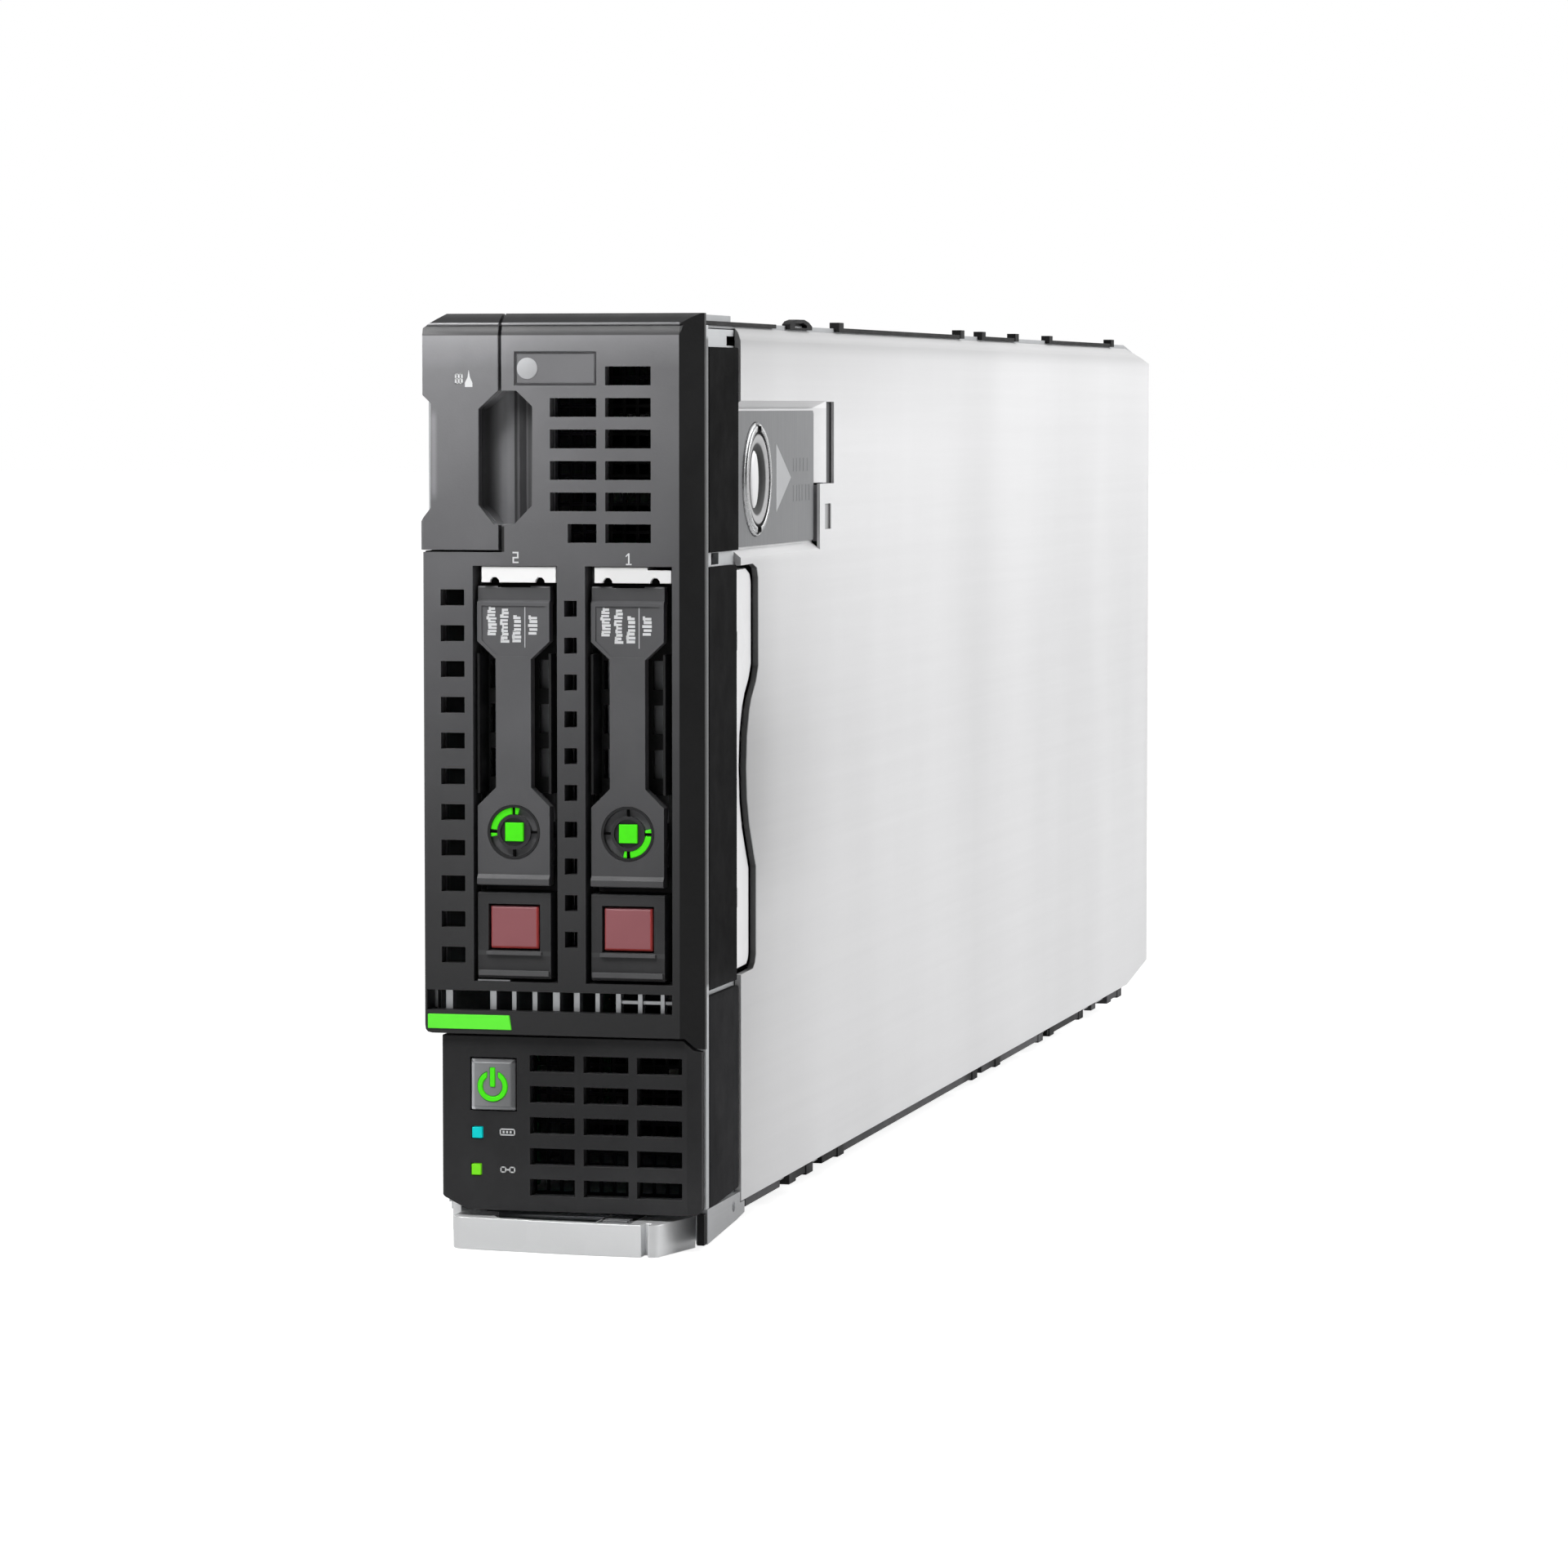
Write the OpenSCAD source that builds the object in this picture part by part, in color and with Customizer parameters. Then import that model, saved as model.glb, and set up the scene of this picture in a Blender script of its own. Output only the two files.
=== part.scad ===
// Half-height blade server, standing on its lower edge.
// Frame: +Z up, +Y from the front face to the rear connectors, X across the blade.
// Shapes are written with Y counted from the front face, and F() centres the depth.
// Origin: centre of the footprint, at the underside of the release lever.

/* [Blade] */
// Wall thickness of the folded sheet tub
wall_t = 1.2; // [1:0.1:1.2]
// Thickness of the moulded front bezel's face
bezel_t = 2.6; // [2.2:0.1:2.8]
// Height of the sunk badge field on the bezel
badge_h = 6.5; // [4:0.5:6.5]

/* [Vents] */
// Height of each upper vent slot
vent_h = 3.6; // [2.6:0.1:4.2]
// Height of each lower vent slot
low_vent_h = 3.2; // [2.4:0.1:4]
// Height of the small square vents beside the drive bays
square_h = 3.1; // [2.4:0.1:3.6]

/* [Drives] */
// Thickness of each drive
drive_t = 13; // [9.5:0.5:13]
// Length of each drive
drive_l = 100.4; // [98:0.1:100.4]
// Thickness of the opening handle's plate
handle_t = 2.8; // [2.4:0.1:2.9]

/* [Electronics] */
// Number of fins on each heat sink
fin_count = 34; // [16:1:40]
// Height of the memory modules above the board
dimm_h = 30; // [25:0.5:31]
// Number of capacitors in each row beside the processors
cap_count = 8; // [4:1:10]

/* [Fits] */
// Radial clearance of the hinge pins in their bores
pin_clear = 0.05; // [0.02:0.01:0.1]

/* [Hidden] */
$fn = 48;

y_mid = 254.2;        // half the depth, front face to origin
left_cx = -9.4;       // drive bay centres
right_cx = 13.3;
bay_z0 = 52.6;        // carrier, bottom and top
bay_z1 = 128.6;
hinge_y = 3.4;        // carrier handle pin
hinge_z = 126.2;
lever_y = 15;         // release lever pin
lever_z = 4.6;
latch_y = 50.8;       // round panel latch
latch_z = 148.4;
tub_z = 179.2;        // top of the folded tub
board_x = -22;        // component side of the system board
cpu_y = [192, 329];   // processor centres along the board
cpu_z = 92;
dimm_z = [20, 28.4, 36.8, 45.2, 139, 147.4, 155.8, 164.2];
eps = 0.01;

// Octagonal grip recess, in front view
grip = [[-12.06, 165.9], [-8.5, 165.9], [-5.3, 162.9], [-5.4, 143.9], [-9.05, 140.2], [-13, 140.2], [-16.05, 143.9], [-16, 162.4]];

module F() translate([0, -y_mid, 0]) children();
// Block between two X, two Y and two Z limits
module bx(x0, x1, y0, y1, z0, z1) translate([x0, y0, z0]) cube([x1 - x0, y1 - y0, z1 - z0]);
// Prisms of a front-view, side-view and plan outline
module xz(p, y0, y1) translate([0, y1, 0]) rotate([90, 0, 0]) linear_extrude(y1 - y0) polygon(p);
module yz(p, x0, x1) translate([x0, 0, 0]) rotate([90, 0, 90]) linear_extrude(x1 - x0) polygon(p);
module xy(p, z0, z1) translate([0, 0, z0]) linear_extrude(z1 - z0) polygon(p);
// Round bars along X and along Y
module rx(r, x0, x1, y, z) translate([x0, y, z]) rotate([0, 90, 0]) cylinder(r = r, h = x1 - x0);
module ry(r, y0, y1, x, z) translate([x, y1, z]) rotate([90, 0, 0]) cylinder(r = r, h = y1 - y0);
// Outline of a rectangle with cut corners
function cut_rect(a0, a1, b0, b1, c) = [[a0 + c, b0], [a1 - c, b0], [a1, b0 + c], [a1, b1 - c], [a1 - c, b1], [a0 + c, b1], [a0, b1 - c], [a0, b0 + c]];

// ---- Front ----

upper_rows = [for (i = [0:5]) 170.5 - 6.02 * i];
low_rows = [for (i = [0:4]) 37.75 - 6.03 * i];
left_rows = [for (i = [0:10]) 127.7 - 6.91 * i];
mid_rows = [for (i = [0:9]) 125.7 - 7.08 * i];

module bezel_outer() intersection() {
  xz([[-25.8, 41.8], [-26.6, 42], [-27.1, 42.5], [-27.3, 43.3], [-27.3, 177.9], [-23.4, 180.7], [27.75, 180.7], [27.75, 39.4], [26.2, 39.8],
    [24.4, 41.8]], -1, 5.3);
  xy([[-27.3, 5.3], [-27.3, 0.4], [-26.9, 0], [23.7, 0], [27.75, 4], [27.75, 5.3]], 30, 190);
  yz([[5.3, 39], [0, 39], [0, 176.4], [0.45, 177.5], [0.7, 178.35], [0.35, 178.5], [0.35, 178.75], [1.9, 179.8], [3.6, 180.7], [5.3, 180.7]], -40, 40);
}

module bezel() color("#4c4c4e") F() {
  difference() {
    bezel_outer();
    // hollow back, leaving walls round the bays, the outer edge and the badge
    difference() {
      bx(-26.3, 24.2, bezel_t, 6, 43.6, 177.2);
      bx(-18.7, 23.8, 0, 7, 50.8, 133.6);
      bx(-10.6, 8.6, 0, 7, 165.4, 175);
      bx(-13.2, -10.4, 0, 7, 133, 178);
      xz([for (p = grip) [p[0] + sign(p[0] + 10.7) * 1, p[1] + sign(p[1] - 153) * 1]], 0, 7);
    }
    // tab opening and its side notch
    bx(-30, -11.45, -2, 7, 134.9, 190);
    // drive bays
    bx(-17.3, -0.5, -2, 7, 52, 132.3);
    bx(5.1, 22.3, -2, 7, 52, 132.3);
    // upper vents, in two columns
    for (i = [0:5]) bx(9.15, 18.15, -2, 7, upper_rows[i] - vent_h, upper_rows[i]);
    for (i = [1:4]) bx(-1.8, 7.4, -2, 7, upper_rows[i] - vent_h, upper_rows[i]);
    bx(1.7, 7.4, -2, 7, upper_rows[5] - vent_h, upper_rows[5]);
    // small square vents beside the bays
    for (z = left_rows) bx(-23.75, -19, -2, 7, z - square_h, z);
    for (z = mid_rows) bx(0.95, 3.45, -2, 7, z - square_h, z);
    // slot row under the bays
    bx(-26.75, 22.2, -2, 7, 46.3, 50.2);
    // accent bar recess and badge field
    xz([[-26.65, 42.65], [-26.65, 45.55], [-10.15, 45.55], [-9.75, 42.65]], -2, 1.2);
    bx(-8.9, 7.4, -2, 0.35, 173.4 - badge_h, 173.4);
    xz(grip, -2, 7);
  }
  // grip cup: a scoop that runs under the tab's edge
  difference() {
    intersection() {
      xz([for (p = grip) [p[0] + sign(p[0] + 10.7) * 0.9, p[1] + sign(p[1] - 153) * 0.9]], 0.4, 9);
      union() {
        bx(-17.2, -4, 3.0, 9, 130, 170);
        bx(-11.45, -4, 0.4, 9, 130, 170);
      }
    }
    intersection() {
      xz(grip, -2, 12);
      xy([[-16.1, -2], [-16.1, 3.1], [-15.95, 5.8], [-15.7, 6.8], [-15.2, 7.5], [-14.5, 7.8], [-13.7, 7.7], [-12.9, 7.35], [-12, 6.8], [-11.1, 6.15],
        [-10.1, 5.3], [-9.1, 4.4], [-8.1, 5.8], [-6.8, 5.9], [-5.7, 2.6], [-5.25, 0.6], [-5.25, -2]], 130, 170);
    }
  }
}

module pull_tab() color("#59595b") F() {
  difference() {
    intersection() {
      xz([[-27.75, 135.3], [-27.75, 140.8], [-25.7, 143.4], [-25.6, 163.5], [-27.3, 165.1], [-27.3, 177.9], [-23.4, 180.7], [-12.1, 180.7],
        [-12.1, 135.3]], -1, 5.3);
      xy([[-27.75, 5.3], [-27.75, 0.6], [-27.15, 0], [-12.1, 0], [-12.1, 5.3]], 130, 190);
      yz([[5.3, 130], [0, 130], [0, 176.4], [0.45, 177.5], [0.7, 178.35], [0.35, 178.5], [0.35, 178.75], [1.9, 179.8], [3.6, 180.7], [5.3, 180.7]], -40, 40);
    }
    bx(-24.6, -10, bezel_t, 7, 136.6, 177.4);
    xz(grip, -2, 7);
  }
  // tongue that slides beside the cable connector, with a stop at its end
  bx(-24.6, -23.2, 4.2, 66, 146, 161);
  bx(-24.6, -22.4, 66, 68, 146, 161);
  bx(-24.7, -23.2, 2.5, 4.5, 146, 161);
}

module lower_plate() color("#2d2d2e") F() difference() {
  intersection() {
    xz([[-24.3, 41.3], [-24.3, 10], [-19.2, 7.4], [26.4, 7.4], [27.2, 8.4], [27.2, 38.9], [25.9, 39.3], [24.1, 41.3]], 0, 5.3);
    xy([[-24.3, 5.3], [-24.3, 1.9], [-23.7, 1.3], [24.9, 1.3], [27.2, 3.6], [27.2, 5.3]], 0, 60);
  }
  difference() {
    bx(-23.1, 24.6, 3.7, 6, 8.9, 40.2);
    bx(-19.8, -7.9, 0, 6, 25.4, 38.4);
  }
  bx(-18.5, -9.2, 0, 7, 26.7, 37.1);
  bx(-18.25, -15.95, 0, 7, 21.25, 23.65);
  bx(-18.4, -16.25, 0, 7, 14.05, 16.45);
  for (z = low_rows, x = [-6.5, 4.25, 14.9]) bx(x, x + 8.9, 0, 7, z - low_vent_h, z);
}

module green_bar() color("#66f03c") F() xz([[-26.6, 42.7], [-26.6, 45.5], [-10.2, 45.5], [-9.8, 42.7]], -0.2, 1.2);

// Frame behind the bezel: a flat flange with a right-hand return
module front_frame() color("#c9cacb") F() {
  difference() {
    xz([[-24.1, 8.2], [-24.1, 42], [-26.2, 42], [-27.1, 43.4], [-27.1, 139.5], [-27.6, 140.2], [-27.6, 166], [-27.1, 167], [-27.1, 177.6],
      [-26.4, 178.4], [27.6, 178.4], [27.6, 8.2]], 5.4, 7.6);
    bx(-17.3, -0.5, 5, 8, 52, 132.3);
    bx(5.1, 22.3, 5, 8, 52, 132.3);
    bx(-24.2, -18.8, 5, 8, 54.6, 128.6);
    bx(0.7, 3.8, 5, 8, 58, 126.6);
    bx(-2.3, 19.2, 5, 8, 136, 171.6);
    bx(-25.4, -3.4, 5, 8, 138.2, 168.2);
    bx(-7.4, 24.8, 5, 8, 9.6, 38.8);
    bx(-19.2, -8.6, 5, 8, 12.6, 38);
    bx(-26.2, 22.3, 5, 8, 45.8, 50.4);
  }
  difference() {
    bx(25.1, 26.4, 7.6, 32.8, 8.2, 177.8);
    bx(20, 30, 14.5, 20.5, 132.3, 134.6);
    for (z = [24, 92, 156]) rx(1.7, 20, 30, 20, z);
    bx(20, 30, 27, 40, 174.7, 176.5);
  }
  // left return of the narrower lower section
  bx(-24.1, -22.9, 7.6, 17.9, 8.8, 41.6);
}

// Fine dark mesh behind the vents
module emi_mesh() color("#161616") F() {
  difference() {
    bx(-2.9, 19.3, 7.7, 8.3, 135.6, 171.8);
    for (x = [0:7], z = [0:12]) bx(-2.05 + 2.65 * x, -0.05 + 2.65 * x, 7, 9, 136.3 + 2.7 * z, 138.4 + 2.7 * z);
  }
  difference() {
    bx(-7.5, 24.9, 7.7, 8.3, 10, 39);
    for (x = [0:11], z = [0:9]) bx(-7 + 2.65 * x, -4.95 + 2.65 * x, 7, 9, 10.6 + 2.8 * z, 12.7 + 2.8 * z);
  }
}

// Pale bars seen in the slot row under the bays
module grille_bars() color("#b9babb") F() {
  for (b = [[-23.8, -22.4], [-14.9, -13.6], [-10.5, -9.6], [-6.4, -5.4], [-2.3, -0.9], [1.9, 3.1], [6.2, 7.1], [10.3, 11.3], [14.7, 15.6], [19.2, 20]])
    bx(b[0], b[1], 2.9, 5.2, 45.2, 50.75);
  bx(-23.8, 20, 3.5, 5.2, 44.4, 45.3);
  bx(10.7, 21.4, 3.5, 4.4, 47.9, 48.6);
}

module lip(x0, x1) difference() {
  bx(x0, x1, 0.3, 7.6, 129.1, 132.2);
  for (x = [x0 + 2.6, x1 - 3.2]) xz([[x - 0.9, 128], [x - 0.9, 129.5], [x - 0.4, 130.1], [x + 0.4, 130.1], [x + 0.9, 129.5], [x + 0.9, 128]], 0, 9);
  bx(x0 + 0.8, x1 - 0.8, 1.3, 9, 128, 131.4);
}
module bay_lips() color("#f0f0f0") F() {
  lip(-15.6, -0.75);
  difference() {
    lip(6.9, 22.1);
    bx(17.4, 23, 0, 9, 131.6, 133);
  }
}

module side_block(p) color("#242425") F() intersection() {
  yz(p, 26.4, 27.65);
  union() {
    xy([[26.4, 7.7], [27.1, 7.7], [27.65, 8.3], [27.65, 31.6], [27.2, 32.8], [26.4, 32.8]], 0, 200);
  }
}
module side_block_top() side_block([[7.7, 134.8], [7.7, 174.3], [32.8, 174.3], [32.8, 135.4], [32, 134.8]]);
module side_block_mid() side_block([[7.7, 50.4], [7.7, 131.4], [8.4, 132], [29.6, 132], [30.2, 131.4], [30.2, 50.4]]);
module side_block_low() side_block([[7.7, 8.2], [7.7, 49.2], [31.4, 49.2], [32.8, 47.6], [32.8, 10.4], [31.4, 9.2], [14, 8.2]]);

module power_button() color("#9c9d9f") F() difference() {
  union() {
    intersection() {
      bx(-18.3, -9.4, 0.7, 5.6, 26.9, 36.9);
      xy([[-18.3, 6], [-18.3, 1.5], [-17.5, 0.7], [-10.2, 0.7], [-9.4, 1.5], [-9.4, 6]], 20, 40);
      yz([[6, 26.9], [1.5, 26.9], [0.7, 27.7], [0.7, 36.1], [1.5, 36.9], [6, 36.9]], -30, 0);
    }
    bx(-15.4, -12.4, 5.5, 9.2, 30.4, 33.4);
  }
  power_shape(0.15);
}
// Power symbol: an open ring and a bar, grown by g
module power_shape(g) translate([-13.85, 1.5, 31.6]) rotate([90, 0, 0]) linear_extrude(1 + g) union() {
  difference() {
    circle(r = 2.95 + g / 3);
    circle(r = 2.05 - g / 3);
    translate([-1.15 + g / 3, 0]) square([2.3 - 2 * g / 3, 5]);
  }
  translate([-0.45 - g / 3, -0.1 - g / 3]) square([0.9 + 2 * g / 3, 3.7 + 2 * g / 3]);
}
module power_light() color("#5cf02c") F() translate([0, -0.02, 0]) power_shape(0);

module status_light_blue() color("#00c8d8") F() {
  bx(-18.1, -16.1, 1.1, 7.8, 21.4, 23.5);
  bx(-18.6, -15.6, 7.7, 9.4, 20.9, 24);
}
module status_light_green() color("#74ee2e") F() {
  bx(-18.25, -16.4, 1.1, 7.8, 14.2, 16.3);
  bx(-18.75, -15.9, 7.7, 9.4, 13.7, 16.8);
}

// Small board behind the power button, with its switch and two lights
module control_board() color("#1f5a3a") F() {
  bx(-22.4, -8.2, 13.4, 15, 11, 39.5);
  bx(-17.4, -10.4, 10.6, 13.4, 28.6, 35.2);
  bx(-18.4, -15.9, 9.6, 13.4, 20.9, 24);
  bx(-18.7, -16, 9.6, 13.4, 13.7, 16.8);
  bx(-21.8, -19.8, 9.8, 13.4, 26, 37);
}

module io_connector() color("#2b2b2e") F() {
  difference() {
    bx(-21.4, -17.4, 9.4, 28, 142, 165);
    bx(-20.6, -18.2, 9, 16, 143.4, 163.6);
  }
  bx(-19.9, -18.9, 10.2, 16.1, 144.6, 162.4);
}

// ---- Tub ----

module chassis_tub() color("#c4c6c8") F() {
  difference() {
    union() {
      yz([[7.7, 42.2], [7.7, tub_z], [474, tub_z], [503, 175.3], [503, 8.9], [474, 5], [18, 5], [18, 42.2]], -27.3, -27.3 + wall_t);
      bx(-27.3, 26.1, 7.7, 474.1, tub_z - wall_t, tub_z);
      yz([[474, tub_z], [503, 175.3], [503, 175.3 - wall_t], [474, tub_z - wall_t]], -27.3, 26.1);
      bx(-27.3, 26.1, 36.4, 474.1, 5, 5 + wall_t);
      yz([[474, 5], [503, 8.9], [503, 8.9 + wall_t], [474, 5 + wall_t]], -27.3, 26.1);
      bx(-22.8, 25, 7.7, 37.6, 8.7, 8.7 + wall_t);
      bx(-22.8, 26.1, 36.4, 37.6, 5, 8.7 + wall_t);
      bx(-22, 26.1, 7.7, 31.5, tub_z - 0.5, 180.5);
    }
    bx(-30, -26.7, 0, 13, 139, 168);
    bx(-30, 30, 0, 7.69, 0, 200);
    for (y = [90, 250, 410], z = [30, 150]) rx(2.2, -30, -20, y, z);
  }
}

module rear_plate() color("#bfc1c3") F() difference() {
  bx(-26, 26, 503, 504.2, 10, 175);
  bx(-21.4, 0.2, 500, 506, 59.4, 121.6);
  bx(-20.4, 1.4, 500, 506, 15.4, 47.6);
  for (z = [0:12]) bx(4.6, 21.6, 500, 506, 20 + 11.4 * z, 27.6 + 11.4 * z);
  for (z = [0:2]) bx(-20.6, -1.4, 500, 506, 130 + 13.4 * z, 139.4 + 13.4 * z);
  for (z = [52.5, 125.5], x = [-19, -2.5]) ry(1.7, 500, 506, x, z);
}

// Black strips with raised ends, folded round the two long edges of the open side. Heights are counted from the tub's wall.
module strip(y0, y1, h, b) {
  bx(25.3, 26.3, y0, y1, 0, h);
  bx(26.1, 27.05, y0, y1, -0.7, h);
  for (y = [y0, y1 - 4.4]) {
    bx(25.1, 26.3, y, y + 4.4, 0, b);
    bx(26.1, 27.2, y, y + 4.4, -0.7, b);
  }
}
module top_strips() color("#1c1c1d") F() translate([0, 0, tub_z]) {
  bx(26.1, 26.9, 8.2, 66.8, -0.7, 0.1);
  strip(122.7, 254.7, 0.12, 1.25);
  strip(275.5, 321, 0.12, 1.2);
  strip(361, 453.5, 0.12, 1.2);
  // small catch
  difference() {
    yz([[78, -0.7], [78, 0.3], [80, 0.95], [84, 1.35], [91, 1.4], [95, 0.9], [98, 0.1], [98, -0.7]], 25.4, 27.1);
    yz([[82.6, -0.3], [82.6, 0.5], [90.4, 0.7], [93.2, 0.2], [93.2, -0.3]], 26.1, 28);
    yz([[70, -2], [70, 0], [110, 0], [110, -2]], 20, 26.1);
  }
}
module bottom_strips() color("#2a2a2b") F() translate([0, 0, 5]) mirror([0, 0, 1]) {
  bx(25, 26.3, 39.6, 69.2, 0, 0.8);
  bx(26.1, 27.05, 39.6, 69.2, -0.85, 0.8);
  for (r = [[76.5, 98, 0], [107.4, 271.3, 14], [277.4, 354.6, 16], [361.5, 410.5, 2], [424, 430, 0], [446, 468, 0]]) {
    bx(25, 26.3, r[0], r[1], 0, 0.85);
    bx(26.1, 27.05, r[0], r[1], -0.85, 0.85);
    if (r[1] > r[0] + 8) for (y = [r[0] + r[2], r[1] - 6]) {
      bx(24, 26.3, y, y + 6, 0, 1.25);
      bx(26.1, 27.3, y, y + 6, -0.85, 1.25);
    }
  }
}

// ---- Release lever ----

module bracket_right() color("#d4d5d6") F() difference() {
  yz([[6.4, 1.3], [6.4, 8.1], [32.9, 8.1], [32.9, 5.9], [36.6, 5.9], [36.6, 3.6], [30, 2.9]], 25.3, 27.6);
  bx(20, 26.2, 36.2, 40, 0, 10);
  rx(1.2 + pin_clear, 20, 27, lever_y, lever_z);
}
module bracket_left() color("#d4d5d6") F() difference() {
  union() {
    yz([[9, 2.2], [9, 8.1], [22, 8.1], [22, 6], [19, 2.2]], -24.4, -22.7);
    bx(-24, -22.9, 10, 17, 8, 8.7);
  }
  rx(1.2 + pin_clear, -30, -20, lever_y, lever_z);
}
module bracket_cap() color("#1a1a1b") F() bx(25.9, 27.4, 4.5, 6.35, 1.3, 7.3);
module lever_pin() color("#8d8f92") F() rx(1.2, -24.3, 26.9, lever_y, lever_z);

module lever() color("#c3c4c6") F() difference() {
  union() {
    difference() {
      xy([[-21.9, 9], [-21.9, 0.9], [-21.2, -0.4], [-19.8, -1.1], [-14, -1.9], [-5, -3.1], [3, -4], [11, -4.45], [17.2, -4.6], [17.2, -1.4],
        [18.5, -1.4], [18.5, -4.6], [19.6, -4.3], [20.5, -3.4], [21.3, 0], [23.2, 7], [24.6, 12], [24.6, 15], [21.8, 15], [20.8, 11], [14.9, 7.4],
        [14.9, 9], [7.4, 9], [7.4, -2.1], [-5, -1.3], [-12.6, -0.2], [-13.6, 1.6], [-14.6, 7.6], [-18.9, 9]], 0, 6.2);
      // release button pocket
      bx(7.9, 14.5, -2.75, 10, 1, 7);
      bx(-22.5, 26, 10.5, 20, -1, 1.3);
    }
    // arms to the pin
    bx(-21.9, -18.9, 8.9, 15, 1.3, 6.2);
    bx(21.8, 24.6, 12, 15, 1.6, 6.2);
    rx(2.5, -21.9, -18.9, lever_y, lever_z);
    rx(2.5, 21.8, 24.6, lever_y, lever_z);
  }
  rx(1.2 + pin_clear, -30, 30, lever_y, lever_z);
}
module lever_button() color("#a9abad") F() {
  bx(8.2, 14.2, -1.9, 6.6, 1.3, 6);
  for (y = [-1.4, 0.4, 2.2]) bx(8.7, 13.7, y, y + 0.7, 5.9, 6.5);
}

// ---- Access panel ----

panel_outline = [[33.1, 6.2], [33.1, 178.2], [474, 178.2], [505.3, 174.3], [505.3, 10.1], [474, 6.2]];
inset_outline = [[31, 131.7], [43.2, 131.85], [46.9, 130.9], [47.9, 129], [48, 111.4], [45.9, 108.3], [42.1, 105.2], [40.4, 102.9], [38.4, 98],
  [37.7, 91.7], [38.4, 85.6], [40.4, 80.2], [44.5, 73.7], [45.9, 71.6], [45.9, 54], [45, 52.4], [43.4, 51.4], [31, 51]];

module access_panel() color("#e3e4e5") F() {
  difference() {
    yz(panel_outline, 26.5, 27.75);
    // rolled upper edge
    xz([[28.5, 175.7], [27.75, 175.7], [27.2, 177.3], [26.5, 178.25], [28.5, 179.5]], 30, 510);
    yz(inset_outline, 20, 30);
    // latch pocket, its two rear slots and a small sunk mark
    yz([[30, 133.2], [30, 164], [108.4, 164], [108.4, 146.8], [102.3, 146.8], [102.3, 133.2]], 20, 30);
    bx(20, 30, 108.3, 115.4, 146.8, 163.8);
    bx(20, 27.1, 100, 120.4, 146.2, 164.4);
    bx(20, 27.1, 100, 107, 132.8, 147.3);
    bx(27.3, 30, 106.9, 112.6, 137.3, 142.6);
  }
  // sunk tray of the pocket
  difference() {
    union() {
      bx(25.05, 25.9, 33.1, 102.7, 134.6, 162.6);
      xz([[27.75, 164], [25.9, 162.4], [25.05, 162.4], [25.05, 163], [26.5, 165], [27.75, 165]], 33.1, 108.3);
      xz([[27.75, 133.2], [25.9, 134.8], [25.05, 134.8], [25.05, 134.2], [26.5, 132.2], [27.75, 132.2]], 33.1, 102.3);
      xy([[25.9, 102.2], [27.7, 108.1], [27.7, 108.3], [26.9, 108.3], [25.05, 102.7], [25.05, 102]], 147, 164);
    }
    rx(9.6, 20, 30, latch_y, latch_z);
  }
  // inward lips that locate in the tub
  bx(22, 26.6, 122, 470, 176.3, 177.5);
  bx(22, 26.6, 40, 470, 6.7, 7.9);
  bx(20, 26.6, 504.5, 505.3, 12, 171);
}

module latch_plate() color("#8c8d8e") F() difference() {
  yz(cut_rect(34.1, 101.9, 135.2, 162, 0.6), 25.9, 26.5);
  rx(11.35, 20, 30, latch_y, latch_z);
}
module latch_ring() color("#d8d9da") F() difference() {
  union() {
    rx(11.25, 25.9, 26.9, latch_y, latch_z);
    rx(10.7, 26.8, 27.3, latch_y, latch_z);
  }
  rx(9.55, 20, 30, latch_y, latch_z);
  for (s = [-1, 1]) bx(26.5, 30, latch_y - 1.4, latch_y + 1.4, latch_z + s * 10.2 - 0.8, latch_z + s * 10.2 + 0.8);
}
module latch_button() color("#b4b6b8") F() translate([0, latch_y, latch_z]) rotate([0, 90, 0]) rotate_extrude()
  polygon([[0, 23.6], [6, 23.6], [6, 25.2], [9.2, 25.2], [9.2, 26.9], [8.9, 27.1], [8.2, 27.1], [6.6, 26.6], [4.6, 26.15], [2.4, 25.9], [0, 25.82]]);
module inset_strip() color("#d2d3d4") F() difference() {
  yz([[32.9, 130.8], [42.6, 130.9], [45.9, 129.8], [46.9, 128.2], [47, 111.8], [45, 109], [41.4, 106], [39.5, 103.5], [37.4, 98.4], [36.7, 91.7],
    [37.4, 85.2], [39.5, 79.6], [43.6, 73.2], [44.9, 71.2], [44.9, 54.4], [44.3, 53.2], [43, 52.3], [32.9, 52]], 25.2, 26.4);
  for (z = [116.8, 66.1]) bx(20, 30, 33.6, 35.8, z - 1.9, z + 1.9);
}

// ---- Drives ----

module drive_cage() color("#aeb0b2") F() difference() {
  bx(-18.6, 23.6, 7.7, 116.4, 50.6, 133.6);
  bx(-17.3, -0.5, 7, 120, 52, 129.6);
  bx(5.1, 22.3, 7, 120, 52, 129.6);
  bx(-17.2, 22.2, 7, 120, 130.8, 132.4);
  bx(0.8, 3.8, 7, 120, 53.2, 132.5);
  // vents punched in the outer walls
  for (z = [0:13]) bx(22, 24, 9.5, 11.1, 58 + 4.7 * z, 60.6 + 4.7 * z);
  for (y = [24:18:96]) {
    bx(-20, -17, y, y + 10, 62, 80);
    bx(-20, -17, y, y + 10, 96, 116);
    bx(22, 24, y, y + 10, 62, 80);
    bx(22, 24, y, y + 10, 96, 116);
  }
}

module drive_backplane() color("#1d5436") F() {
  difference() {
    bx(-20.6, 24.4, 116.6, 118.2, 49, 135);
    for (z = [55, 108, 118], x = [left_cx, right_cx]) bx(x - 5, x + 5, 110, 120, z, z + 7);
  }
  for (x = [left_cx, right_cx]) bx(x - 2.8, x + 2.8, 112.9, 116.6, 66, 102);
}

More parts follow.
